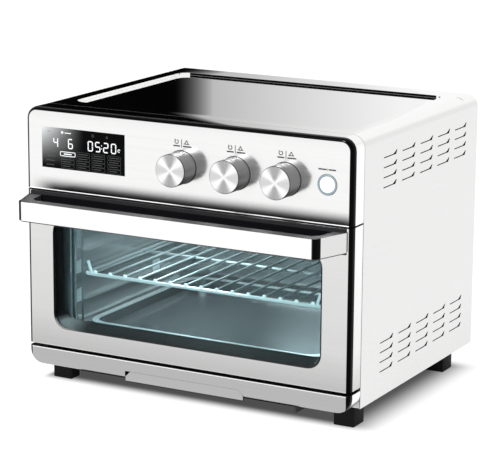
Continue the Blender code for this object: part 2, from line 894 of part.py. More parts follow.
def window_outline(grow, top):
    return rounded(
        -WINDOW_HALF - grow,
        WINDOW_HALF + grow,
        WINDOW_BOTTOM - grow,
        top + grow,
        (WINDOW_RADIUS + grow,) * 4,
    )


def door_frame():
    span = (-HALF, HALF, DOOR_BOTTOM, DOOR_TOP)
    frame = pan("door_frame", span, (0, 0, 0, 0), SEAM - 0.5, ("low", "high"))
    cut(frame, slab("window_cut", window_outline(0, WINDOW_TOP), "y", -5, 3, helper=True))
    notches = []
    for sign in (-1, 1):
        low, high = sorted((sign * (EAR_X - 1.0), sign * (EAR_X + EAR_THICKNESS + 1.2)))
        notches.append(((low, 1.2, 45), (high, 30, 52.2)))
    cut(frame, boxes("hinge_notches", notches))
    on_door(frame)


def door_panes():
    outer = slab(
        "door_glass_outer",
        rounded(-182, 182, 60, 210, (8, 8, 8, 8), 3),
        "y",
        1.3,
        5.3,
        "pane",
    )
    inner = slab(
        "door_glass_inner",
        rounded(-172, 172, 66, 208, (6, 6, 6, 6), 3),
        "y",
        18.4,
        21.4,
        "pane",
    )
    lining = slab(
        "door_inner_panel",
        rounded(-194, 194, 56, 227, (6, 6, 6, 6), 3),
        "y",
        21.7,
        25.4,
        "enamel",
    )
    cut(
        lining,
        slab(
            "lining_window",
            rounded(-162, 162, 73, 200, (10, 10, 10, 10), 3),
            "y",
            15,
            30,
            helper=True,
        ),
    )
    for piece in (outer, inner, lining):
        on_door(piece)


def hinges():
    """A fixed ear on each side carries the short pin that the door turns on."""
    centre = (0, HINGE_Y, HINGE_Z)
    reach = EAR_HALF_HEIGHT
    span = (HINGE_Y - reach, FRAME_FRONT - GAP, HINGE_Z - reach, HINGE_Z + reach)
    outline = rounded(*span, (reach - 0.01, 0, 0, reach - 0.01), 6)
    for side, sign in (("left", -1), ("right", 1)):
        near, far = sorted((sign * EAR_X, sign * (EAR_X + EAR_THICKNESS)))
        ear = slab("hinge_bracket_" + side, outline, "x", near, far, "galvanised")
        ends = sorted((sign * 190.0, sign * 210.0))
        loose = PIN_RADIUS + 0.08
        cut(ear, rod("ear_bore_" + side, centre, "x", loose, *ends, sides=24, helper=True))
        ends = sorted((sign * 197.5, sign * 202.9))
        pin = rod("hinge_pin_" + side, centre, "x", PIN_RADIUS, *ends, "galvanised", 24)
        on_door(pin)


def door_trim():
    low = (-TRIM_HALF, TRIM_FRONT, TRIM_BOTTOM)
    high = (TRIM_HALF, -GAP, DOOR_TOP - GAP)
    on_door(box("door_top_trim", low, high, "gloss_black", 0.4))


def handle_path(offset):
    """Half of the handle's plan outline, from its foot on the door to the bar's middle."""
    slope = (HANDLE_FOOT_HALF - 188.3) / 40.0
    foot_y = TRIM_FRONT - GAP
    foot_x = HANDLE_FOOT_HALF + slope * foot_y - offset
    front = -HANDLE_REACH + offset
    bend = [
        (187.9 - offset, -38.0),
        (187.2 - offset, -42.0 + offset * 0.4),
        (185.4 - offset * 0.9, -45.2 + offset * 0.8),
        (HANDLE_HALF - offset * 0.6, front),
    ]
    return [(foot_x, foot_y)] + bend


def handle():
    outer = handle_path(0.0)
    skin = handle_path(1.2)
    across = outer + [(-x, y) for x, y in reversed(outer)]
    back = skin + [(-x, y) for x, y in reversed(skin)]
    on_door(slab("handle_band", across + back[::-1], "z", HANDLE_BOTTOM, HANDLE_TOP))
    filling = handle_path(1.5)
    foot_y = filling[0][1]
    across = filling + [(-x, y) for x, y in reversed(filling)]
    rear = HANDLE_BAR_REAR
    grip = [(184.0, foot_y), (180.0, rear + 6), (173.0, rear)]
    grip = [(-x, y) for x, y in grip] + grip[::-1]
    low = HANDLE_BOTTOM - HANDLE_LINER_DROP
    on_door(slab("handle_core", across + grip, "z", low, HANDLE_TOP - 0.6, "black_plastic"))


# ---------------------------------------------------------------- sill and crumb tray
def lip_outline(grow, low, left_corner):
    """Front of the crumb tray as (x, z), with its two top corners cut off."""
    half = LIP_HALF + grow
    top = LIP_TOP + grow
    return [
        (-half, low),
        (half, low),
        (half, top - LIP_CORNER),
        (half - LIP_CORNER, top),
        (left_corner - half, top),
        (-half, top - left_corner),
    ]


def sill_panel():
    """Its opening keeps a nearly square corner at the left, where a fingernail goes in."""
    span = (-HALF, HALF, SILL_BOTTOM, SILL_TOP)
    radii = (SILL_RADIUS, SILL_RADIUS, 0, 0)
    sill = pan("sill_panel", span, radii, SEAM, ("high",))
    outline = lip_outline(0.4, 20, 0.5)
    cut(sill, slab("lip_opening", outline, "y", -5, 5.0, helper=True))


def crumb_tray():
    span = (-CRUMB_HALF, CRUMB_HALF, 2.2, CRUMB_REAR)
    tray = dish("crumb_tray", span, CRUMB_FLOOR, CRUMB_TOP, 0.0, 0.0, 0.8, 4.0, "enamel")
    lip = slab("crumb_tray_lip", lip_outline(0.0, LIP_FOOT, LIP_CORNER), "y", 0.6, 1.8)
    spot = (0, 0, CRUMB_FLOOR)
    hang_on(tray, spot, "axis_crumb_tray")
    hang_on(lip, spot, "axis_crumb_tray")


def tray_runners():
    for side, sign in (("left", -1), ("right", 1)):
        near = CRUMB_HALF + GAP
        outline = [
            (sign * near, CASE_BOTTOM - GAP),
            (sign * (near + 6), CASE_BOTTOM - GAP),
            (sign * (near + 6), CASE_BOTTOM - 1.5),
            (sign * (near + 1), CASE_BOTTOM - 1.5),
            (sign * (near + 1), CRUMB_FLOOR - 1.3),
            (sign * (near - 6), CRUMB_FLOOR - 1.3),
            (sign * (near - 6), CRUMB_FLOOR - GAP),
            (sign * near, CRUMB_FLOOR - GAP),
        ]
        slab("tray_runner_" + side, outline, "y", 34.0, 302.0, "galvanised")


def build():
    outer_casing()
    rear_panel()
    base_plate()
    feet()
    front_frame()
    cord_gland()
    control_panel()
    display()
    for name, x in zip(KNOB_NAMES, KNOB_X):
        knob(name, x)
    start_button()
    boards()
    cavity()
    rack_guides()
    wire_rack()
    baking_tray()
    heaters()
    probe()
    fan()
    motor()
    door_frame()
    door_panes()
    hinges()
    door_trim()
    handle()
    sill_panel()
    crumb_tray()
    tray_runners()


build()
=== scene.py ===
import json
import math

import bmesh
import bpy
from mathutils import Matrix, Vector


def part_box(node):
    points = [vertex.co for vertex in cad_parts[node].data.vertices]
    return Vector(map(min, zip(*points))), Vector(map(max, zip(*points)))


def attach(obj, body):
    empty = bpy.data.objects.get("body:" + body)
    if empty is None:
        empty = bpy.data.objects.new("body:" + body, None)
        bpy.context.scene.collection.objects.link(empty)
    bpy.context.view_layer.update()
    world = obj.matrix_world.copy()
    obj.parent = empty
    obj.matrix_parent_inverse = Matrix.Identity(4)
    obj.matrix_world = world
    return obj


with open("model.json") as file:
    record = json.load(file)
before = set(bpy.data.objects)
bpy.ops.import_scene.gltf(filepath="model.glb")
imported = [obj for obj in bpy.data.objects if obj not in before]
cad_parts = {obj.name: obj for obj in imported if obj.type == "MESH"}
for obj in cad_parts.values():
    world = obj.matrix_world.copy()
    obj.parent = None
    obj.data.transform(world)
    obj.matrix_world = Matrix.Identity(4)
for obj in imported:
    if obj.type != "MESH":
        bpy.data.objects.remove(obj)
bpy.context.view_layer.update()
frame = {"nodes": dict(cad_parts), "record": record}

NODES = frame["nodes"]
MM = 0.001


# ---------------------------------------------------------------- places

PANEL_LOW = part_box("control_panel")[0]
FRONT = PANEL_LOW.y / MM                # the front plane, in mm
WINDOW_HALF = 170.8                     # door window's opening: half its width,
WINDOW_LOW, WINDOW_HIGH = 70.7, 199.8   # and its lower and upper edges, in mm


def at(x, y, z):
    """A point given in mm: x from the middle, y behind the front plane, z above the table."""
    return Vector((x * MM, (FRONT + y) * MM, z * MM))


def span_mm(node):
    """Lowest and highest corner of a node in mm, with y measured from the front plane."""
    low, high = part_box(node)
    return tuple(
        (c.x / MM, c.y / MM - FRONT, c.z / MM) for c in (low, high)
    )


# ---------------------------------------------------------------- materials

class Look:
    """One procedural material, built on a Principled shader and object coordinates."""

    def __init__(self, name, **sockets):
        self.material = bpy.data.materials.new(name)
        self.material.use_nodes = True
        self.tree = self.material.node_tree
        self.shader = self.tree.nodes["Principled BSDF"]
        self.output = self.tree.nodes["Material Output"]
        for key, value in sockets.items():
            self.shader.inputs[key.replace("_", " ")].default_value = value
        self.place = self.node("ShaderNodeTexCoord").outputs["Object"]

    def node(self, kind, **settings):
        made = self.tree.nodes.new(kind)
        for key, value in settings.items():
            setattr(made, key, value)
        return made

    def link(self, source, target):
        self.tree.links.new(source, target)

    def feed(self, socket, source):
        """Connects a socket, or sets it where source is a plain number."""
        if isinstance(source, (int, float)):
            socket.default_value = source
        elif isinstance(source, tuple):
            socket.default_value = (*source, 1.0)
        else:
            self.link(source, socket)

    def stretched(self, scale):
        """Object coordinates multiplied by a scale for each axis."""
        made = self.node("ShaderNodeMapping")
        made.inputs["Scale"].default_value = scale
        self.link(self.place, made.inputs["Vector"])
        return made.outputs["Vector"]

    def noise(self, scale, detail=3.0, rough=0.55):
        made = self.node("ShaderNodeTexNoise")
        made.inputs["Scale"].default_value = 1.0
        made.inputs["Detail"].default_value = detail
        made.inputs["Roughness"].default_value = rough
        self.link(self.stretched(scale), made.inputs["Vector"])
        return made.outputs["Fac"]

    def spots(self, scale):
        made = self.node("ShaderNodeTexVoronoi")
        made.inputs["Scale"].default_value = 1.0
        self.link(self.stretched((scale,) * 3), made.inputs["Vector"])
        return made.outputs["Distance"]

    def math(self, operation, first, second=0.0):
        made = self.node("ShaderNodeMath", operation=operation)
        self.feed(made.inputs[0], first)
        self.feed(made.inputs[1], second)
        return made.outputs[0]

    def ramp(self, value, low, high, bottom=0.0, top=1.0, smooth=False):
        """Value from low to high, turned into bottom to top and held there."""
        made = self.node("ShaderNodeMapRange")
        made.interpolation_type = "SMOOTHSTEP" if smooth else "LINEAR"
        self.feed(made.inputs[0], value)
        for index, number in enumerate((low, high, bottom, top), 1):
            made.inputs[index].default_value = number
        return made.outputs[0]

    def axis(self, letter):
        made = self.node("ShaderNodeSeparateXYZ")
        self.link(self.place, made.inputs[0])
        return made.outputs["XYZ".index(letter.upper())]

    def band(self, letter, low, high, soft):
        """1 between two object coordinates given in metres, falling to 0 over soft."""
        value = self.axis(letter)
        rise = self.ramp(value, low - soft, low + soft, smooth=True)
        fall = self.ramp(value, high - soft, high + soft, 1.0, 0.0, smooth=True)
        return self.math("MULTIPLY", rise, fall)

    def outside(self, half, low, high, radius):
        """1 outside a rounded rectangle in x and z given in metres, and 0 inside it."""
        across = self.math("ABSOLUTE", self.axis("x"))
        across = self.math("SUBTRACT", across, half - radius)
        tall = self.math("ABSOLUTE", self.math("SUBTRACT", self.axis("z"), (low + high) / 2))
        tall = self.math("SUBTRACT", tall, (high - low) / 2 - radius)
        over = [self.math("MAXIMUM", side, 0.0) for side in (across, tall)]
        squares = [self.math("MULTIPLY", side, side) for side in over]
        corner = self.math("SQRT", self.math("ADD", *squares))
        within = self.math("MINIMUM", self.math("MAXIMUM", across, tall), 0.0)
        distance = self.math("SUBTRACT", self.math("ADD", corner, within), radius)
        return self.ramp(distance, -0.2 * MM, 0.2 * MM, smooth=True)

    def both(self, *masks):
        """Product of some masks: 1 only where each of them is 1."""
        result = masks[0]
        for mask in masks[1:]:
            result = self.math("MULTIPLY", result, mask)
        return result

    def blend(self, share, first, second):
        """Mixes two plain numbers."""
        made = self.node("ShaderNodeMix", data_type="FLOAT")
        self.feed(made.inputs[0], share)
        self.feed(made.inputs[2], first)
        self.feed(made.inputs[3], second)
        return made.outputs[0]

    def mix(self, share, first, second, way="MIX"):
        made = self.node("ShaderNodeMix", data_type="RGBA", blend_type=way)
        self.feed(made.inputs[0], share)
        self.feed(made.inputs[6], first)
        self.feed(made.inputs[7], second)
        return made.outputs[2]

    def colour(self, source):
        self.feed(self.shader.inputs["Base Color"], source)

    def rough(self, source):
        self.feed(self.shader.inputs["Roughness"], source)

    def bump(self, height, strength, distance):
        made = self.node("ShaderNodeBump")
        made.inputs["Strength"].default_value = strength
        made.inputs["Distance"].default_value = distance
        self.link(height, made.inputs["Height"])
        self.link(made.outputs["Normal"], self.shader.inputs["Normal"])


def tone(colour, factor):
    """A colour made darker or lighter, and held at white."""
    return tuple(min(1.0, c * factor) for c in colour)


def grey(value):
    """Neutral metal colour with a trace less blue."""
    return (value, value, value * 0.995)


# Black painted in for dark reflections and shade on the steel: rolled rims, bends, gaps, slot
# walls, the recess's rear wall, and the knobs' undersides and face edges.
PAINTED_DARK = (0.004, 0.004, 0.004)
MIRROR = 0.025                          # roughness of the polished top
RIM_HALF = 201.0 * MM                   # half the width of the fronts' flat faces
SIDE_WALL = 203.0 * MM                  # beyond this from the middle, a front's side wall
SKIN_DEPTH = 8.0 * MM                   # how far back the rolled rims' painted dark reflection goes
RINGS_PER_METRE = 5200.0                # density of the lathe's rings on the knobs


class Brushed(Look):
    """Brushed sheet metal, with other tones, finishes, painted light and painted shade laid on by
    place.
    """

    def __init__(self, name, colour, rough, along="x", grain=0.05, streak=0.08):
        super().__init__(name, Metallic=1.0)
        scale = tuple(5.0 if letter == along else 1400.0 for letter in "xyz")
        fine = self.noise(scale, 5.0, 0.6)
        wide = self.noise(tuple(number * 0.22 for number in scale), 2.0, 0.5)
        cloud = self.noise((9.0, 9.0, 9.0), 2.0)
        lines = self.blend(0.4, fine, wide)
        self.shade = self.mix(lines, tone(colour, 1 - streak), tone(colour, 1 + streak * 0.6))
        polish = self.ramp(lines, 0.3, 0.7, rough - grain, rough + grain)
        self.polish = self.math("ADD", polish, self.ramp(cloud, 0.3, 0.7, -0.02, 0.03))
        self.metal = 1.0
        self.bump(lines, 0.06, 0.00004)

    def lay(self, mask, colour, rough, metal=1.0):
        self.shade = self.mix(mask, self.shade, colour)
        self.polish = self.blend(mask, self.polish, rough)
        self.metal = self.blend(mask, self.metal, metal)
        return self

    # Darkens where a mask is: painted shade and painted reflection.
    def dim(self, mask, factor):
        self.shade = self.mix(mask, self.shade, (factor,) * 3, "MULTIPLY")
        return self

    def done(self):
        self.colour(self.shade)
        self.rough(self.polish)
        self.feed(self.shader.inputs["Metallic"], self.metal)
        return self.material


def level(node, side):
    """Height in metres of the bottom (0) or top (1) of a node."""
    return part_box(node)[side].z


def front_skin(name, node, colour, rough, window, line):
    """Pressed front: a painted dark reflection on its rolled rim, painted light on its side
    walls, and a painted highlight along one cut edge.
    """
    look = Brushed(name, colour, rough)
    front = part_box(node)[0].y
    skin = look.ramp(look.axis("y"), front + SKIN_DEPTH, front + SKIN_DEPTH + 0.4 * MM, 1.0, 0.0)
    back = look.math("SUBTRACT", 1.0, skin)
    across = look.math("ABSOLUTE", look.axis("x"))
    # Side walls in a paler tone: painted light.
    sides = look.both(back, look.ramp(across, SIDE_WALL, SIDE_WALL + 1.0 * MM))
    look.lay(sides, grey(0.97), 0.3)
    # Rolled rim painted near black: painted reflection of the dark room.
    rim = look.outside(*window)
    look.lay(look.both(rim, skin), PAINTED_DARK, 0.16)
    # A thin line of lighter tone along one edge: painted highlight.
    height, tint = line
    edge = look.band("z", height - 0.45 * MM, height + 0.45 * MM, 0.15 * MM)
    plain = look.math("SUBTRACT", 1.0, rim)
    look.lay(look.both(edge, plain, skin), tint, 0.5, 0.0)
    return look


def fascia_steel():
    """Control panel: a painted reflection of the dark handle darkens its lower part, and its top
    strip is polished.
    """
    low, high = level("control_panel", 0), level("control_panel", 1)
    front = PANEL_LOW.y
    window = (RIM_HALF, low - 100.0 * MM, high - 3.8 * MM, 10.0 * MM)
    look = front_skin("fascia_steel", "control_panel", grey(0.88), 0.17, window,
                      (low + 0.6 * MM, grey(0.97)))
    # Painted reflection: the face darkens toward its lower edge, standing for the dark handle
    # mirrored in it.
    painted_handle_reflection = look.ramp(look.axis("z"), low + 17.5 * MM, low + 1.5 * MM, 0.0, 1.0, smooth=True)
    shown = look.ramp(look.axis("x"), PANEL_LOW.x, PANEL_LOW.x + 40.0 * MM, smooth=True)
    face = look.ramp(look.axis("y"), front + 0.5 * MM, front + 1.0 * MM, 1.0, 0.0)
    above_edge = look.ramp(look.axis("z"), low + 1.05 * MM, low + 1.2 * MM)
    look.dim(look.both(painted_handle_reflection, shown, face, above_edge), 0.03)
    behind_skin = look.ramp(look.axis("y"), front + 8.4 * MM, front + 8.8 * MM)
    roof = look.ramp(look.axis("z"), high - 7.0 * MM, high - 5.0 * MM)
    return look.lay(look.both(behind_skin, roof), grey(0.93), MIRROR).done()


def door_steel():
    """Door skin, with painted shade darkening it toward its lower edge, and a painted dark gap
    line along its top.
    """
    low, high = level("door_frame", 0), level("door_frame", 1)
    window = (RIM_HALF, low - 100.0 * MM, high + 100.0 * MM, 1.0 * MM)
    look = front_skin("door_steel", "door_frame", grey(0.755), 0.2, window,
                      (low + 0.4 * MM, grey(0.62)))
    # Painted shade: darker toward the lower edge.
    look.dim(look.ramp(look.axis("z"), low, high, 1.0, 0.0), 0.82)
    look.dim(look.ramp(look.axis("z"), low + 2.0 * MM, low + 42.0 * MM, 1.0, 0.0), 0.80)
    # Painted shade of the gap below the control panel: a black line along the top edge.
    door_gap_shade = look.ramp(look.axis("z"), high - 0.25 * MM, high - 0.1 * MM)
    return look.lay(door_gap_shade, PAINTED_DARK, 0.5).done()


def sill_steel():
    """Lower panel, with rounded lower corners, a base tone darker than the door's that is painted
    shade, and a painted dark gap line under the door.
    """
    low, high = level("sill_panel", 0), level("sill_panel", 1)
    window = (RIM_HALF, low - 2.0 * MM, high + 100.0 * MM, 13.0 * MM)
    # The sill's dark base tone is painted shade.
    look = front_skin("sill_steel", "sill_panel", grey(0.45), 0.22, window,
                      (high - 0.9 * MM, grey(0.62)))
    # Painted shade of the gap under the door: a black line along the top edge.
    sill_gap_shade = look.ramp(look.axis("z"), high - 0.35 * MM, high - 0.2 * MM)
    return look.lay(sill_gap_shade, PAINTED_DARK, 0.5).done()


def case_steel():
    """Fine side brushing, a near mirror on top, painted shade on the side slots' cut walls, and a
    painted dark reflection on the recess's rear wall.
    """
    look = Brushed("case_steel", grey(0.79), 0.24, "y", 0.04, 0.015)
    low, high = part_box("outer_casing")
    top = look.ramp(look.axis("z"), high.z - 8.0 * MM, high.z - 5.0 * MM)
    look.lay(top, grey(0.93), MIRROR)

    # Painted shade: the slots' cut walls, within the sheet's thickness, are black.
    across = look.math("ABSOLUTE", look.axis("x"))
    inside = look.ramp(across, high.x - 1.1 * MM, high.x - 1.0 * MM)
    skin = look.ramp(across, high.x - 0.16 * MM, high.x - 0.08 * MM, 1.0, 0.0)
    beside = look.band("z", low.z + 5.0 * MM, high.z - 14.4 * MM, 0.2 * MM)
    look.lay(look.both(inside, skin, beside), PAINTED_DARK, 0.7)

    seam = look.band("y", low.y - 0.1 * MM, low.y + 0.5 * MM, 0.15 * MM)
    look.lay(seam, grey(0.30), 0.4)

    upright = look.band("z", high.z - 2.95 * MM, high.z - 0.1 * MM, 0.1 * MM)
    # Painted dark reflection: the recess's rear wall is black.
    rear_wall = look.band("y", high.y - 31.8 * MM, high.y - 30.4 * MM, 0.1 * MM)
    look.lay(look.both(rear_wall, upright), PAINTED_DARK, 0.2)
    left_wall = look.band("x", low.x + 28.4 * MM, low.x + 29.6 * MM, 0.1 * MM)
    return look.lay(look.both(left_wall, upright), grey(0.95), 0.6).done()


def handle_steel():
    """Bright front, a painted dark reflection on the bends, and plainer arms in a darker tone
    that is painted shade.
    """
    look = Brushed("handle_steel", grey(0.97), 0.12, "x", 0.03, 0.02)
    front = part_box("handle_band")[0].y
    depth = look.axis("y")
    # Arms in a darker tone: painted shade.
    look.lay(look.ramp(depth, front + 8.0 * MM, front + 10.0 * MM), grey(0.72), 0.25)
    # Bends painted near black: painted reflection.
    across = look.math("ABSOLUTE", look.axis("x"))
    bend = look.ramp(across, 180.6 * MM, 182.0 * MM, smooth=True)
    fore = look.ramp(depth, front + 8.0 * MM, front + 9.5 * MM, 1.0, 0.0)
    return look.lay(look.both(bend, fore), PAINTED_DARK, 0.14).done()


def spun(name, node, colour):
    """Turned metal: fine rings on the face, with painted reflection lobes round the middle,
    painted shade on its darker sides going black underneath, and a painted dark reflection round
    the face's edge.
    """
    low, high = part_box(node)
    centre = (low + high) / 2
    look = Look(name, Metallic=1.0)
    shift = look.node("ShaderNodeVectorMath", operation="SUBTRACT")
    look.link(look.place, shift.inputs[0])
    shift.inputs[1].default_value = (centre.x, 0.0, centre.z)
    parts = look.node("ShaderNodeSeparateXYZ")
    look.link(shift.outputs[0], parts.inputs[0])
    x, y, z = parts.outputs
    radius = look.math("SQRT", look.math("ADD", look.both(x, x), look.both(z, z)))
    angle = look.math("ARCTAN2", z, x)
    rings = look.node("ShaderNodeTexNoise", noise_dimensions="1D")
    look.link(look.both(radius, RINGS_PER_METRE), rings.inputs["W"])
    rings.inputs["Detail"].default_value = 2.0
    wobble = look.node("ShaderNodeTexNoise", noise_dimensions="1D")
    look.link(look.both(angle, 3.0), wobble.inputs["W"])

    # Painted reflection: darker lobes above and below the middle, and fainter ones to either
    # side.
    wave = look.math("COSINE", look.both(angle, 2.0))
    upright = look.ramp(wave, -0.10, -1.0, 0.0, 1.0, smooth=True)
    sideways = look.ramp(wave, 0.35, 1.0, 0.0, 0.55, smooth=True)
    uneven = look.ramp(wobble.outputs["Fac"], 0.3, 0.7, 0.75, 1.0)
    middle = look.ramp(radius, 0.0, 5.0 * MM)
    lobe_reflection_paint = look.both(look.math("MAXIMUM", upright, sideways), uneven, middle)
    shade = look.mix(lobe_reflection_paint, tone(colour, 0.97), tone(colour, 0.34))

    face = look.ramp(y, low.y + 0.5 * MM, low.y + 1.0 * MM, 1.0, 0.0)
    # Painted shade: the sides far darker than the face, going black underneath.
    under = look.ramp(z, -2.0 * MM, -13.0 * MM, 0.0, 1.0, smooth=True)
    side = look.mix(look.noise((700.0, 5.0, 700.0), 2.0), tone(colour, 0.19), tone(colour, 0.23))
    shade = look.mix(face, look.mix(under, side, PAINTED_DARK), shade)
    # Painted dark reflection: a black ring round the face's edge.
    rise = look.ramp(y, low.y + 0.05 * MM, low.y + 0.5 * MM)
    fall = look.ramp(y, low.y + 0.9 * MM, low.y + 1.4 * MM, 1.0, 0.0)
    look.colour(look.mix(look.both(rise, fall), shade, PAINTED_DARK))
    polish = look.ramp(rings.outputs["Fac"], 0.3, 0.7, 0.24, 0.32)
    look.rough(look.blend(face, 0.45, polish))
    look.bump(rings.outputs["Fac"], 0.05, 0.00002)
    return look.material


def galvanised(name, colour):
    """Zinc-coated sheet, with faint crystals."""
    look = Look(name, Metallic=1.0)
    flakes = look.node("ShaderNodeTexVoronoi", feature="F1")
    look.link(look.stretched((170.0,) * 3), flakes.inputs["Vector"])
    flakes.inputs["Scale"].default_value = 1.0
    cell = look.node("ShaderNodeSeparateColor")
    look.link(flakes.outputs["Color"], cell.inputs[0])
    look.colour(look.mix(cell.outputs[0], tone(colour, 0.93), tone(colour, 1.05)))
    look.rough(look.ramp(cell.outputs[1], 0.0, 1.0, 0.34, 0.52))
    look.bump(look.noise((600.0,) * 3, 3.0), 0.08, 0.00005)
    return look.material


def enamel(name, colour, rough=0.42, fleck=0.25, metal=0.35):
    """Baked coating: broad clouds of tone, small dark flecks and a fine grain."""
    look = Look(name, Metallic=metal, Specular_IOR_Level=0.5)
    fine = look.noise((1500.0,) * 3, 2.0)
    broad = look.noise((14.0, 14.0, 14.0), 3.0)
    spots = look.ramp(look.spots(420.0), 0.12, 0.30, 1.0, 0.0)
    base = look.mix(broad, tone(colour, 0.90), tone(colour, 1.10))
    base = look.mix(look.math("MULTIPLY", spots, fleck), base, tone(colour, 0.55))
    look.colour(base)
    look.rough(look.ramp(fine, 0.3, 0.7, rough - 0.06, rough + 0.08))
    look.bump(fine, 0.12, 0.00006)
    return look.material


def moulded(name, colour, rough, grain=900.0, depth=0.18, shine=0.5):
    """Moulded plastic or rubber with a fine grain."""
    look = Look(name, Specular_IOR_Level=shine)
    fine = look.noise((grain,) * 3, 3.0)
    broad = look.noise((25.0,) * 3, 2.0)
    look.colour(look.mix(broad, tone(colour, 0.85), tone(colour, 1.20)))
    look.rough(look.ramp(fine, 0.3, 0.7, rough - 0.07, rough + 0.10))
    look.bump(fine, depth, 0.00008)
    return look.material


def glossy(name, colour, rough, shine):
    """Smooth black finish, a little uneven in tone and polish."""
    look = Look(name, Specular_IOR_Level=shine)
    broad = look.noise((30.0,) * 3, 2.0)
    look.colour(look.mix(broad, tone(colour, 0.9), tone(colour, 1.15)))
    look.rough(look.ramp(broad, 0.3, 0.7, rough - 0.02, rough + 0.03))
    return look.material


def screen_glass():
    """Black display window with a glowing painted reflection of the room at its upper left."""
    look = Look("screen_glass", Specular_IOR_Level=0.03)
    low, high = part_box("display_glass")
    wide, tall = high.x - low.x, high.z - low.z
    grain = look.noise((30.0,) * 3, 2.0)
    look.colour(look.mix(grain, (0.001, 0.001, 0.001), (0.002, 0.002, 0.002)))
    look.rough(look.ramp(grain, 0.3, 0.7, 0.10, 0.14))
    # Painted reflection: a glow fading away from the upper left.
    fade = look.ramp(look.axis("x"), low.x, low.x + 0.52 * wide, 1.0, 0.0)
    rise = look.ramp(look.axis("z"), low.z + 0.05 * tall, high.z, 0.0, 1.0)
    painted_room_reflection = look.both(look.math("POWER", fade, 1.7), look.math("POWER", rise, 1.6))
    look.feed(look.shader.inputs["Emission Color"], (0.97, 1.0, 1.0))
    look.feed(look.shader.inputs["Emission Strength"], look.both(painted_room_reflection, 0.95))
    return look.material


def tray_enamel():
    """Dark enamelled tray with a painted highlight along its rolled rim."""
    look = Look("tray_enamel", Metallic=0.6)
    grain = look.noise((1500.0,) * 3, 2.0)
    top = level("baking_tray", 1)
    # Painted highlight: the rim near white.
    rim = look.ramp(look.axis("z"), top - 1.6 * MM, top - 1.2 * MM)
    dark = look.mix(look.noise((14.0,) * 3), (0.14, 0.145, 0.15), (0.18, 0.185, 0.19))
    look.colour(look.mix(rim, dark, (0.95, 0.96, 0.96)))
    look.rough(look.ramp(grain, 0.3, 0.7, 0.20, 0.30))
    look.bump(grain, 0.1, 0.00005)
    return look.material


def rack_chrome_and_glow():
    """Plated wire: the front rail painted white and glowing as a painted highlight, and the bars
    behind it greyer.
    """
    look = Look("rack_chrome_and_glow", Metallic=0.5)
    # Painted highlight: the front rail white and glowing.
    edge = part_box("wire_rack")[0].y + 4.2 * MM
    rail = look.ramp(look.axis("y"), edge, edge + 0.4 * MM, 1.0, 0.0)
    broad = look.noise((60.0,) * 3, 3.0)
    bars = look.mix(broad, (0.40, 0.43, 0.44), (0.50, 0.53, 0.54))
    look.colour(look.mix(rail, bars, (1.0, 1.0, 1.0)))
    look.rough(look.ramp(broad, 0.3, 0.7, 0.32, 0.42))
    look.feed(look.shader.inputs["Emission Color"], (0.90, 1.0, 1.0))
    look.feed(look.shader.inputs["Emission Strength"], look.both(rail, 0.45))
    return look.material


def window_black():
    """Black window lining, with painted light on its lower run, palest at the left end."""
    look = Look("window_black", Specular_IOR_Level=0.06)
    # Painted light: the lower run paler, most near its left end.
    run = look.ramp(look.axis("z"), (WINDOW_LOW + 13.3) * MM, (WINDOW_LOW + 7.3) * MM)
    left = -WINDOW_HALF * MM
    pale = look.ramp(look.axis("x"), left + 4.8 * MM, left + 42.8 * MM, 0.20, 0.020, smooth=True)
    grain = look.noise((200.0,) * 3, 2.0)
    shade = look.both(run, pale, look.ramp(grain, 0.3, 0.7, 0.9, 1.1))
    look.colour(look.mix(shade, (0.002, 0.002, 0.002), (1.0, 1.0, 1.0)))
    look.rough(look.ramp(grain, 0.3, 0.7, 0.38, 0.46))
    return look.material


def chromed(name, colour, rough):
    """Plated metal."""
    look = Look(name, Metallic=1.0)
    broad = look.noise((60.0,) * 3, 3.0)
    look.colour(look.mix(broad, tone(colour, 0.92), tone(colour, 1.05)))
    look.rough(look.ramp(broad, 0.3, 0.7, rough - 0.04, rough + 0.08))
    return look.material


def glass(name, tint):
    """Thin pane: what is behind shows through its tint, and it mirrors by Fresnel."""
    rough = 0.02
    look = Look(name, Roughness=rough, Metallic=0.0, Specular_IOR_Level=1.0)
    look.shader.inputs["Base Color"].default_value = (*tint, 1.0)
    film = look.noise((18.0, 18.0, 6.0), 3.0)
    look.rough(look.ramp(film, 0.3, 0.7, rough, rough + 0.03))
    clear = look.node("ShaderNodeBsdfTransparent")
    look.feed(clear.inputs["Color"], look.mix(film, tone(tint, 0.985), tone(tint, 1.01)))
    mirror = look.node("ShaderNodeBsdfGlossy")
    look.feed(mirror.inputs["Roughness"], look.ramp(film, 0.3, 0.7, rough, rough + 0.03))
    share = look.node("ShaderNodeFresnel")
    share.inputs["IOR"].default_value = 1.45
    blend = look.node("ShaderNodeMixShader")
    look.link(look.both(share.outputs[0], 0.07), blend.inputs[0])
    look.link(clear.outputs[0], blend.inputs[1])
    look.link(mirror.outputs[0], blend.inputs[2])
    look.link(blend.outputs[0], look.output.inputs["Surface"])
    return look.material


def glowing(name, colour, strength, base=(0.02, 0.02, 0.02)):
    """A surface that gives a little light of its own."""
    look = Look(name, Roughness=0.3)
    fine = look.noise((300.0,) * 3, 1.0)
    look.colour(look.mix(fine, tone(base, 0.9), tone(base, 1.1)))
    look.feed(look.shader.inputs["Emission Color"], look.mix(fine, tone(colour, 0.96), colour))
    look.shader.inputs["Emission Strength"].default_value = strength
    return look.material


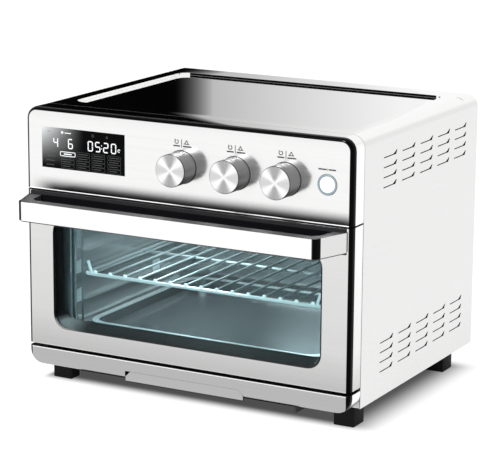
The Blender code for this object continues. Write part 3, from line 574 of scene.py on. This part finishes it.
def circuit(name):
    """Green board with a pattern of tracks."""
    look = Look(name, Roughness=0.45)
    mask = look.noise((220.0, 30.0, 220.0), 1.0)
    tracks = look.node("ShaderNodeTexBrick")
    look.link(look.stretched((260.0,) * 3), tracks.inputs["Vector"])
    look.feed(tracks.inputs["Color1"], (0.03, 0.20, 0.09))
    look.feed(tracks.inputs["Color2"], (0.04, 0.25, 0.11))
    look.feed(tracks.inputs["Mortar"], (0.10, 0.38, 0.17))
    look.colour(look.mix(mask, tracks.outputs["Color"], (0.02, 0.14, 0.06)))
    return look.material


def wound(name):
    """Motor stack: stacked laminations with a copper winding round its middle."""
    look = Look(name, Metallic=1.0, Roughness=0.4)
    plates = look.node("ShaderNodeTexWave", bands_direction="Z")
    plates.inputs["Scale"].default_value = 260.0
    look.link(look.place, plates.inputs["Vector"])
    steel = look.mix(plates.outputs["Fac"], (0.30, 0.30, 0.31), (0.52, 0.52, 0.53))
    turns = look.node("ShaderNodeTexWave", bands_direction="X")
    turns.inputs["Scale"].default_value = 400.0
    look.link(look.place, turns.inputs["Vector"])
    copper = look.mix(turns.outputs["Fac"], (0.42, 0.17, 0.07), (0.75, 0.36, 0.18))
    low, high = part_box("fan_motor")
    third = (high.x - low.x) / 3
    middle = look.band("x", low.x + third, high.x - third, 0.3 * MM)
    look.colour(look.mix(middle, steel, copper))
    look.bump(plates.outputs["Fac"], 0.2, 0.0001)
    return look.material


GALVANISED = galvanised("galvanised_sheet", (0.62, 0.63, 0.64))
SILL = sill_steel()
LINING = enamel("cavity_enamel", (0.60, 0.61, 0.615), 0.20, 0.1, 0.75)
# Crumb tray near black as painted shade, so it merges with the shade under the oven.
SHADED = enamel("crumb_tray_painted_shade", (0.03, 0.03, 0.031), 0.6)
TRAY = tray_enamel()
RACK = rack_chrome_and_glow()
# Weld beads white and glowing: painted highlight.
BEAD = glowing("rack_bead_painted_glow", (0.92, 1.0, 1.0), 0.9, (0.9, 0.9, 0.9))
SHEATH = enamel("heater_sheath", (0.20, 0.19, 0.18), 0.45)
RUBBER = moulded("foot_rubber", (0.007, 0.007, 0.008), 0.62, 700.0, 0.3, 0.12)
PLASTIC = moulded("black_plastic", (0.022, 0.022, 0.023), 0.38)
LINER = moulded("handle_liner", (0.030, 0.030, 0.031), 0.5)
GLOSS = glossy("gloss_black", (0.004, 0.004, 0.005), 0.08, 0.25)
SCREEN = screen_glass()
BOARD = circuit("circuit_board")
MOTOR = wound("motor_windings")
BUTTON = glowing("button_lens", (0.80, 0.92, 1.0), 0.35, (0.80, 0.90, 0.95))
BEZEL = chromed("button_bezel", (0.35, 0.42, 0.46), 0.25)
PANE_OUTER = glass("door_pane_outer", (0.83, 0.90, 0.91))
PANE_INNER = glass("door_pane_inner", (0.86, 0.92, 0.93))
INK = moulded("panel_ink", (0.022, 0.022, 0.023), 0.5, 500.0, 0.05)
DIGIT = glowing("display_digit", (0.95, 0.98, 1.0), 1.2)
DIM = glowing("display_legend", (0.62, 0.66, 0.68), 0.10)
BAFFLE = window_black()
SHADOW = glossy("vent_shadow", (0.003, 0.003, 0.003), 0.6, 0.0)
SLOT_LIGHT = enamel("guide_slot_edge", (0.80, 0.86, 0.87), 0.3)
SCREWS = chromed("screw_zinc", (0.66, 0.67, 0.68), 0.25)

FINISH = {
    "outer_casing": case_steel(),
    "control_panel": fascia_steel(),
    "door_frame": door_steel(),
    "sill_panel": SILL,
    # The lip takes the sill's dark tone, painted shade.
    "crumb_tray_lip": Brushed("lip_steel", grey(0.45), 0.22).done(),
    "crumb_tray": SHADED,
    "handle_band": handle_steel(),
    "handle_core": LINER,
    "button_ring": BEZEL,
    "start_button": BUTTON,
    "wire_rack": RACK,
    "baking_tray": TRAY,
    "display_glass": SCREEN,
    "door_top_trim": GLOSS,
    "door_glass_outer": PANE_OUTER,
    "door_glass_inner": PANE_INNER,
    "control_board": BOARD,
    "power_board": BOARD,
    "fan_motor": MOTOR,
}
BY_SLOT = {
    "galvanised_steel": GALVANISED,
    "grey_enamel": LINING,
    "heater_sheath": SHEATH,
    "black_rubber": RUBBER,
    "black_plastic": PLASTIC,
}


def slot_of(node):
    """The record's material slot for a node."""
    for row in frame["record"]["subparts"]:
        if row["node"] == node:
            return row["material_slot"]
    return None


def dress(obj, finish):
    obj.data.materials.clear()
    obj.data.materials.append(finish)


def shading_group():
    """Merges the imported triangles' shared points and smooths all but the sharp edges."""
    group = bpy.data.node_groups.new("smooth_shading", "GeometryNodeTree")
    group.interface.new_socket("Geometry", in_out="INPUT", socket_type="NodeSocketGeometry")
    group.interface.new_socket("Geometry", in_out="OUTPUT", socket_type="NodeSocketGeometry")
    start = group.nodes.new("NodeGroupInput")
    merge = group.nodes.new("GeometryNodeMergeByDistance")
    merge.inputs["Distance"].default_value = 0.002 * MM
    faces = group.nodes.new("GeometryNodeSetShadeSmooth")
    angle = group.nodes.new("GeometryNodeInputMeshEdgeAngle")
    sharp = group.nodes.new("FunctionNodeCompare")
    sharp.data_type = "FLOAT"
    sharp.operation = "GREATER_THAN"
    sharp.inputs[1].default_value = math.radians(32)
    normals = group.nodes.new("GeometryNodeSetMeshNormal")
    end = group.nodes.new("NodeGroupOutput")
    links = group.links
    links.new(start.outputs[0], merge.inputs["Geometry"])
    links.new(merge.outputs[0], faces.inputs["Geometry"])
    links.new(faces.outputs[0], normals.inputs["Mesh"])
    links.new(angle.outputs["Unsigned Angle"], sharp.inputs[0])
    links.new(sharp.outputs[0], normals.inputs["Edge Sharpness"])
    links.new(normals.outputs[0], end.inputs[0])
    return group


SHADING = shading_group()


def smooth(obj):
    made = obj.modifiers.new("shading", "NODES")
    made.node_group = SHADING


for node, obj in NODES.items():
    finish = FINISH.get(node) or BY_SLOT.get(slot_of(node))
    if node.startswith("knob_"):
        finish = spun(node + "_steel", node, (0.95, 0.95, 0.95))
    dress(obj, finish)
    smooth(obj)


# ---------------------------------------------------------------- mesh helpers

def piece(name, bm, finish, body):
    """Turns a bmesh into an object that rides on a body."""
    mesh = bpy.data.meshes.new(name)
    bmesh.ops.recalc_face_normals(bm, faces=bm.faces)
    bm.to_mesh(mesh)
    bm.free()
    made = bpy.data.objects.new(name, mesh)
    bpy.context.scene.collection.objects.link(made)
    mesh.materials.append(finish)
    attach(made, body)
    return made


def thicken(made, thickness, offset=0.0):
    """Gives a sheet its thickness in mm."""
    solid = made.modifiers.new("sheet", "SOLIDIFY")
    solid.thickness = thickness * MM
    solid.offset = offset


def sheet(bm, points):
    """Adds one flat face through (x, y, z) points in mm."""
    bm.faces.new([bm.verts.new(at(*point)) for point in points])


def ring_between(bm, fronts, backs):
    """Skins two outlines of (x, y, z) points in mm, with one face per pair."""
    near = [bm.verts.new(at(*point)) for point in fronts]
    far = [bm.verts.new(at(*point)) for point in backs]
    for i in range(len(near)):
        j = (i + 1) % len(near)
        bm.faces.new((near[i], near[j], far[j], far[i]))
    return near, far


def closed_between(bm, fronts, backs):
    """Skins two outlines and caps both."""
    near, far = ring_between(bm, fronts, backs)
    bm.faces.new(near)
    bm.faces.new(far[::-1])


def prism(bm, outline, y, thick):
    """Adds a flat outline of (x, z) points in mm, from y to y + thick."""
    closed_between(bm, [(x, y, z) for x, z in outline], [(x, y + thick, z) for x, z in outline])


def stroke(bm, points, width, y, thick, closed=False):
    """Adds a line of flat bars through (x, z) points, each a short prism."""
    pairs = list(zip(points, points[1:]))
    if closed:
        pairs.append((points[-1], points[0]))
    for (x0, z0), (x1, z1) in pairs:
        length = math.hypot(x1 - x0, z1 - z0)
        if length < 1e-6:
            continue
        ux, uz = (x1 - x0) / length, (z1 - z0) / length
        nx, nz = -uz * width / 2, ux * width / 2
        ex, ez = ux * width * 0.2, uz * width * 0.2
        outline = [
            (x0 - ex + nx, z0 - ez + nz),
            (x0 - ex - nx, z0 - ez - nz),
            (x1 + ex - nx, z1 + ez - nz),
            (x1 + ex + nx, z1 + ez + nz),
        ]
        prism(bm, outline, y, thick)


def arc(x, z, radius, start, end, steps):
    """Points along an arc between two angles in degrees."""
    turn = [math.radians(start + (end - start) * i / steps) for i in range(steps + 1)]
    return [(x + radius * math.cos(a), z + radius * math.sin(a)) for a in turn]


def round_box(left, right, low, high, radius, steps=4):
    """Outline of a rectangle with round corners."""
    points = arc(right - radius, high - radius, radius, 0, 90, steps)
    points += arc(left + radius, high - radius, radius, 90, 180, steps)
    points += arc(left + radius, low + radius, radius, 180, 270, steps)
    points += arc(right - radius, low + radius, radius, 270, 360, steps)
    return points


def lathe(bm, centre, profile, sides):
    """Turns a closed profile of (radius, distance along y) in mm about a line along y."""
    rows = []
    for radius, along in profile:
        row = []
        for i in range(sides):
            a = 2 * math.pi * i / sides
            offset = (radius * math.cos(a), along, radius * math.sin(a))
            row.append(bm.verts.new(at(*(c + o for c, o in zip(centre, offset)))))
        rows.append(row)
    for near, far in zip(rows, rows[1:] + rows[:1]):
        for i in range(sides):
            j = (i + 1) % sides
            bm.faces.new((near[i], near[j], far[j], far[i]))


def bead(bm, centre, radius):
    """Adds a small ball."""
    made = bmesh.ops.create_icosphere(bm, subdivisions=2, radius=radius * MM)
    bmesh.ops.translate(bm, verts=made["verts"], vec=at(*centre))


# ---------------------------------------------------------------- display

SEGMENTS = {
    "a": ((0.12, 1.0), (0.88, 1.0)),
    "b": ((1.0, 0.94), (1.0, 0.55)),
    "c": ((1.0, 0.45), (1.0, 0.06)),
    "d": ((0.12, 0.0), (0.88, 0.0)),
    "e": ((0.0, 0.45), (0.0, 0.06)),
    "f": ((0.0, 0.94), (0.0, 0.55)),
    "g": ((0.12, 0.5), (0.88, 0.5)),
}
LIT = {"0": "abcdef", "2": "abged", "4": "fgbc", "5": "afgcd", "6": "afgedc"}


SCREEN_LOW, SCREEN_HIGH = span_mm("display_glass")
SCREEN_WIDE = SCREEN_HIGH[0] - SCREEN_LOW[0]
SCREEN_TALL = SCREEN_HIGH[2] - SCREEN_LOW[2]
SCREEN_SKIN = SCREEN_LOW[1] - 0.05      # just in front of the glass
DIGIT_WIDE, CLOCK_WIDE = 5.2, 5.6
DIGIT_TALL = 0.225 * SCREEN_TALL
DIGIT_BASE = SCREEN_LOW[2] + 0.525 * SCREEN_TALL
FILM, THIN_FILM = 0.06, 0.05            # thickness of the lit and of the faint signs


def spot(u, v):
    """A point of the display, from shares of its width and height."""
    return SCREEN_LOW[0] + u * SCREEN_WIDE, SCREEN_LOW[2] + v * SCREEN_TALL


def digit(bm, segments, u, width, line, thick):
    """Adds the named segments of one digit, whose left side is at share u of the width."""
    left = spot(u, 0.0)[0]
    for key in segments:
        ends = [(left + a * width, DIGIT_BASE + b * DIGIT_TALL) for a, b in SEGMENTS[key]]
        stroke(bm, ends, line, SCREEN_SKIN, thick)


def build_digits():
    """Bright signs: two single digits, the clock, a battery-like block and the chosen entry."""
    y = SCREEN_SKIN
    bm = bmesh.new()
    for shown, u in (("4", 0.145), ("6", 0.325)):
        digit(bm, LIT[shown], u, DIGIT_WIDE, 1.25, FILM)
    for shown, u in (("0", 0.565), ("5", 0.655), ("2", 0.752), ("0", 0.845)):
        digit(bm, LIT[shown], u, CLOCK_WIDE, 1.25, FILM)
    for v in (0.35, 0.68):
        x, z = spot(0.727, 0.0)[0], DIGIT_BASE + v * DIGIT_TALL
        prism(bm, round_box(x - 0.55, x + 0.55, z - 0.55, z + 0.55, 0.3, 2), y, FILM)
    x, z = spot(0.235, 0.90)
    prism(bm, round_box(x, x + 3.0, z - 1.2, z + 1.4, 0.8, 3), y, FILM)
    stroke(bm, [(x + 5.0, z - 0.2), (x + 13.0, z - 0.2)], 0.9, y, FILM)
    (x0, z0), (x1, z1) = spot(0.225, 0.325), spot(0.405, 0.425)
    stroke(bm, round_box(x0, x1, z0, z1, 1.0), 0.8, y, FILM, closed=True)
    stroke(bm, [spot(0.27, 0.375), spot(0.36, 0.375)], 1.2, y, FILM)
    stroke(bm, arc(*spot(0.935, 0.60), 1.5, 20, 300, 6), 0.8, y, FILM)
    piece("display_digits", bm, DIGIT, "oven")


def build_legends():
    """Faint signs: the table of entries, small marks along the top and the unlit digit."""
    y = SCREEN_SKIN
    bm = bmesh.new()
    for column, u in enumerate((0.035, 0.235, 0.425, 0.61, 0.80)):
        for row, v in enumerate((0.37, 0.26, 0.15, 0.04)):
            if (column, row) == (1, 0):
                continue
            x0, z0 = spot(u, v)
            x1 = x0 + 0.155 * SCREEN_WIDE
            entry = [(x0 + 2.0, z0 + 1.6), (x1 - 2.0 - row, z0 + 1.6)]
            stroke(bm, entry, 0.55, y, THIN_FILM)
            if column:
                frame_line = round_box(x0, x1, z0 - 0.6, z0 + 3.8, 0.9, 2)
                stroke(bm, frame_line, 0.22, y, THIN_FILM, closed=True)
    for u in (0.11, 0.26):
        x, z = spot(u, 0.90)
        stroke(bm, [(x - 4.5, z), (x - 0.8, z)], 0.5, y, THIN_FILM)
    stroke(bm, arc(*spot(0.62, 0.90), 1.4, 0, 360, 8), 0.4, y, THIN_FILM)
    x, z = spot(0.79, 0.90)
    peak = [(x - 1.2, z - 1.2), (x + 1.2, z - 1.2), (x, z + 1.3)]
    stroke(bm, peak, 0.4, y, THIN_FILM, closed=True)
    digit(bm, "abcdefg", 0.235, DIGIT_WIDE, 0.7, 0.04)
    piece("display_legends", bm, DIM, "oven")


# ---------------------------------------------------------------- fascia print

KNOBS = ("knob_temperature", "knob_time", "knob_function")


def build_print():
    """Small printed signs over each knob and a bar over the button."""
    bm = bmesh.new()
    y, thick = -FILM, FILM
    for knob in KNOBS:
        low, high = span_mm(knob)
        x = (low[0] + high[0]) / 2
        z = (low[2] + high[2]) / 2 + 27.5
        stroke(bm, [(x, z - 5.6), (x, z + 3.0)], 0.8, y, thick)
        stroke(bm, arc(x - 6.2, z + 0.3, 2.2, 150, 430, 9), 0.95, y, thick)
        stroke(bm, [(x - 8.6, z + 2.8), (x - 6.6, z + 1.4)], 0.8, y, thick)
        peak = [(x + 4.0, z - 1.6), (x + 8.6, z - 1.6), (x + 6.3, z + 2.4)]
        stroke(bm, peak, 0.9, y, thick, closed=True)
        stroke(bm, [(x + 2.9, z - 1.6), (x + 9.6, z - 1.6)], 0.8, y, thick)
        stroke(bm, [(x - 10.0, z - 4.4), (x - 2.2, z - 4.4)], 1.5, y, thick)
        stroke(bm, [(x + 2.0, z - 4.4), (x + 12.0, z - 4.4)], 1.5, y, thick)
    low, high = span_mm("button_ring")
    x, z = (low[0] + high[0]) / 2, high[2] + 4.8
    stroke(bm, [(x - 10.5, z), (x - 1.5, z)], 1.5, y, thick)
    stroke(bm, [(x, z - 1.2), (x, z + 1.2)], 0.6, y, thick)
    stroke(bm, [(x + 1.5, z), (x + 9.5, z)], 1.5, y, thick)
    piece("fascia_print", bm, INK, "oven")


def build_knob_shade_rings():
    """Thin dark ring of painted shade where each knob meets the fascia."""
    bm = bmesh.new()
    for knob in KNOBS:
        low, high = span_mm(knob)
        centre = ((low[0] + high[0]) / 2, 0, (low[2] + high[2]) / 2)
        outer = (high[0] - low[0]) / 2
        inner = outer - 3.0
        profile = [(inner, -0.02), (inner, -0.35), (outer + 0.4, -0.35), (outer + 0.7, -0.02)]
        lathe(bm, centre, profile, 48)
    piece("knob_ring_shade", bm, PLASTIC, "oven")


# ---------------------------------------------------------------- side vents

VENT_BLOCKS = ((256.0, 301.0), (50.0, 94.0))    # lower and upper edge of each block
VENT_COLUMNS, VENT_ROWS = 5, 4
VENT_FIRST, VENT_STEP, VENT_HALF = 90.5, 47.8, 14.8
VENT_TOPS, VENT_DROP = (293.5, 87.0), 11.0      # top row of each block, and the step down


def build_vent_backs():
    """Dark sheets a little way inside the casing's slots: painted shade seen through them."""
    half = span_mm("outer_casing")[1][0]
    near, far = 70.0, 304.0
    for side, sign in (("left", -1), ("right", 1)):
        x = sign * (half - 5.0)
        bm = bmesh.new()
        for bottom, top in VENT_BLOCKS:
            sheet(bm, [(x, near, bottom), (x, far, bottom), (x, far, top), (x, near, top)])
        thicken(piece("vent_shade_sheet_" + side, bm, SHADOW, "oven"), 0.5)


def build_vent_mouths():
    """Painted shade: a thin black patch on the casing at each slot's rear end, where the pressed
    metal turns up.
    """
    half = span_mm("outer_casing")[1][0]
    corners = ((-4.5, -0.6), (1.0, -0.8), (4.2, 4.2), (1.2, 3.6))
    for side, sign in (("left", -1), ("right", 1)):
        near, far = sign * (half + 0.02), sign * (half + 0.07)
        bm = bmesh.new()
        for column in range(VENT_COLUMNS):
            y = VENT_FIRST + VENT_STEP * column + VENT_HALF
            for top in VENT_TOPS:
                for row in range(VENT_ROWS):
                    z = top - VENT_DROP * row
                    mouth = [(y + dy, z + dz) for dy, dz in corners]
                    closed_between(bm, [(near, *c) for c in mouth], [(far, *c) for c in mouth])
        piece("vent_mouth_shade_" + side, bm, SHADOW, "oven")


# ---------------------------------------------------------------- door

def build_window():
    """Black baffle between the panes, sloping up from the front opening to the lining."""
    half = WINDOW_HALF - 2.4
    front = round_box(-WINDOW_HALF, WINDOW_HALF, WINDOW_LOW, WINDOW_HIGH, 16.8, 6)
    rear = round_box(-half, half, WINDOW_LOW + 8.3, WINDOW_HIGH - 0.8, 14.0, 6)
    bm = bmesh.new()
    ring_between(bm, [(x, 5.5, z) for x, z in front], [(x, 18.2, z) for x, z in rear])
    thicken(piece("window_baffle", bm, BAFFLE, "door"), 0.6, 1.0)


def build_border():
    """Black printed border round the edge of the outer pane."""
    y = 1.15
    half, wide = WINDOW_HALF - 1.8, WINDOW_HALF + 2.2
    inner = round_box(-half, half, WINDOW_LOW + 1.3, WINDOW_HIGH - 1.3, 15.5, 6)
    outer = round_box(-wide, wide, WINDOW_LOW - 2.2, WINDOW_HIGH + 2.2, 19.0, 6)
    bm = bmesh.new()
    ring_between(bm, [(x, y, z) for x, z in inner], [(x, y, z) for x, z in outer])
    thicken(piece("window_border", bm, BAFFLE, "door"), 0.08)


# ---------------------------------------------------------------- inside

RACK_BARS, RACK_STEP = 15, 20.0
# distance from the middle, y and z of the lower front corner, depth and height, in mm
GUIDE_SLOTS = (
    (159.75, 31.0, 166.0, 10.0, 14.0),
    (159.75, 31.0, 129.0, 10.0, 15.0),
    (159.75, 31.0, 95.0, 10.0, 16.0),
    (158.70, 199.0, 95.0, 16.0, 14.0),
    (158.70, 199.0, 176.0, 16.0, 14.0),
)


def build_beads():
    """Weld bead at the front end of each of the rack's bars."""
    low = span_mm("wire_rack")[0]
    bm = bmesh.new()
    for index in range(RACK_BARS):
        x = (index - (RACK_BARS - 1) / 2) * RACK_STEP
        bead(bm, (x, low[1] + 1.6, low[2] + 4.9), 2.0)
    piece("rack_beads", bm, BEAD, "rack")


def build_guide_slots():
    """Pale punched slots in the side walls, near the front and the rear of each level."""
    bm = bmesh.new()
    for sign in (-1, 1):
        for x, y, z, deep, tall in GUIDE_SLOTS:
            corners = ((y, z), (y + deep, z), (y + deep, z + tall), (y, z + tall))
            sheet(bm, [(sign * x, *corner) for corner in corners])
    thicken(piece("guide_slots", bm, SLOT_LIGHT, "oven"), 0.3)


def build_screws():
    """Round-headed screws down both sides of the rear panel."""
    back = span_mm("rear_panel")[1][1]
    profile = [(0.9, 0.0), (0.9, 1.1), (2.9, 1.6), (3.8, 0.9), (3.9, 0.0)]
    bm = bmesh.new()
    for x in (-188, 188):
        for z in (60, 180, 300):
            lathe(bm, (x, back, z), profile, 20)
    piece("rear_screws", bm, SCREWS, "oven")


build_digits()
build_legends()
build_print()
build_knob_shade_rings()
build_vent_backs()
build_vent_mouths()
build_beads()
build_guide_slots()
build_window()
build_border()
build_screws()


# ---------------------------------------------------------------- studio

def paper():
    """Pale paper that glows a little, with a soft painted shadow under the oven."""
    look = Look("studio_paper", Roughness=0.9)
    look.shader.inputs["Specular IOR Level"].default_value = 0.0
    grain = look.noise((40.0,) * 3, 4.0)
    low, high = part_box("base_plate")
    soft = 14.0 * MM
    # Painted shadow: the paper darker and dimmer under the oven.
    near = look.ramp(look.axis("x"), low.x - 7.0 * MM, low.x + 5.0 * MM, smooth=True)
    fading = (high.x - 30.0 * MM, high.x + 26.0 * MM, 1.0, 0.0)
    away = look.ramp(look.axis("x"), *fading, smooth=True)
    deep = look.band("y", PANEL_LOW.y + 34.0 * MM, high.y - soft, soft)
    under = look.both(near, away, deep)
    pale = look.mix(grain, (0.04, 0.04, 0.04), (0.05, 0.05, 0.05))
    look.colour(look.mix(under, pale, (0.03, 0.03, 0.03)))
    look.feed(look.shader.inputs["Emission Color"], (1.0, 1.0, 1.0))
    look.feed(look.shader.inputs["Emission Strength"], look.blend(under, 1.01, 0.085))
    return look.material


def studio_sheet(name, points, finish):
    """Flat sheet of the studio, through (x, y, z) points in metres."""
    bm = bmesh.new()
    bm.faces.new([bm.verts.new(point) for point in points])
    mesh = bpy.data.meshes.new(name)
    bm.to_mesh(mesh)
    bm.free()
    mesh.materials.append(finish)
    made = bpy.data.objects.new(name, mesh)
    bpy.context.scene.collection.objects.link(made)
    return made


def build_floor():
    """Square of paper, 24 m wide."""
    half = 12.0
    corners = ((-half, -half, 0.0), (half, -half, 0.0), (half, half, 0.0), (-half, half, 0.0))
    floor = studio_sheet("floor", corners, paper())


def add_light(data, travel, place):
    """Adds a light at a place, shining along travel."""
    made = bpy.data.objects.new(data.name, data)
    bpy.context.scene.collection.objects.link(made)
    made.location = place
    made.rotation_euler = Vector(travel).to_track_quat("-Z", "Y").to_euler()


def build_key():
    """Soft sun from the upper left."""
    data = bpy.data.lights.new("key", "SUN")
    data.energy = 5.0
    data.angle = math.radians(14.0)
    add_light(data, (0.25, 0.9, -1.0), (0.0, 0.0, 0.0))


def build_cavity_lamp():
    """Small flat lamp under the cavity's ceiling."""
    data = bpy.data.lights.new("cavity_lamp", "AREA")
    data.shape = "RECTANGLE"
    data.size, data.size_y = 0.16, 0.10
    data.energy = 0.85
    place, aim = Vector((-0.05, -0.02, 0.214)), Vector((0.0, 0.0, 0.06))
    add_light(data, aim - place, place)


def dark_room():
    """Far screen, seen only in mirrors: black at its left, then paler and paler."""
    left, right, low, high, y = -3.2, -0.75, 0.2, 1.7, 2.2
    dawn, shoulder, day = -1.394, -1.287, -0.80
    look = Look("far_screen_felt", Roughness=1.0, Specular_IOR_Level=0.0)
    look.colour(look.mix(look.noise((6.0,) * 3), (0.0, 0.0, 0.0), (0.002, 0.002, 0.002)))
    light = look.math("POWER", look.ramp(look.axis("x"), dawn, shoulder), 2.4)
    light = look.both(light, 0.52)
    light = look.math("ADD", light, look.ramp(look.axis("x"), shoulder, day, 0.0, 0.42))
    look.feed(look.shader.inputs["Emission Color"], (1.0, 1.0, 1.0))
    look.feed(look.shader.inputs["Emission Strength"], light)
    corners = ((left, y, low), (right, y, low), (right, y, high), (left, y, high))
    made = studio_sheet("far_screen", corners, look.material)
    for kind in ("camera", "diffuse", "transmission", "shadow"):
        setattr(made, "visible_" + kind, False)


def build_world():
    """White surround for the camera and for mirrors, and a weaker one for matt surfaces."""
    world = bpy.data.worlds.new("studio")
    bpy.context.scene.world = world
    world.use_nodes = True
    tree = world.node_tree
    sky = tree.nodes["Background"]
    sky.inputs["Color"].default_value = (1.0, 1.0, 1.0, 1.0)
    path = tree.nodes.new("ShaderNodeLightPath")
    share = tree.nodes.new("ShaderNodeMapRange")
    share.inputs["To Min"].default_value = 1.0
    share.inputs["To Max"].default_value = 0.10
    tree.links.new(path.outputs["Is Diffuse Ray"], share.inputs["Value"])
    tree.links.new(share.outputs["Result"], sky.inputs["Strength"])


def build_camera():
    """Long lens in front of the oven's right side, a little above it."""
    place, lens = (1.17146, -2.15688, 0.74348), 156.99
    yaw, pitch, roll = (math.radians(angle) for angle in (28.43, 13.16, 0.42))
    level_out = math.cos(pitch)
    back = Vector((math.sin(yaw) * level_out, -math.cos(yaw) * level_out, math.sin(pitch)))
    right = Vector((math.cos(yaw), math.sin(yaw), 0.0))
    up = back.cross(right)
    across = right * math.cos(roll) + up * math.sin(roll)
    upward = up * math.cos(roll) - right * math.sin(roll)
    data = bpy.data.cameras.new("camera")
    data.sensor_fit = "HORIZONTAL"
    data.sensor_width = 36.0
    data.lens = lens
    data.clip_end = 60.0
    made = bpy.data.objects.new("camera", data)
    bpy.context.scene.collection.objects.link(made)
    turn = Matrix((across, upward, back)).transposed().to_4x4()
    made.matrix_world = Matrix.Translation(place) @ turn
    bpy.context.scene.camera = made


build_floor()
build_world()
build_key()
build_cavity_lamp()
dark_room()
build_camera()
bpy.context.scene.view_settings.view_transform = "Standard"
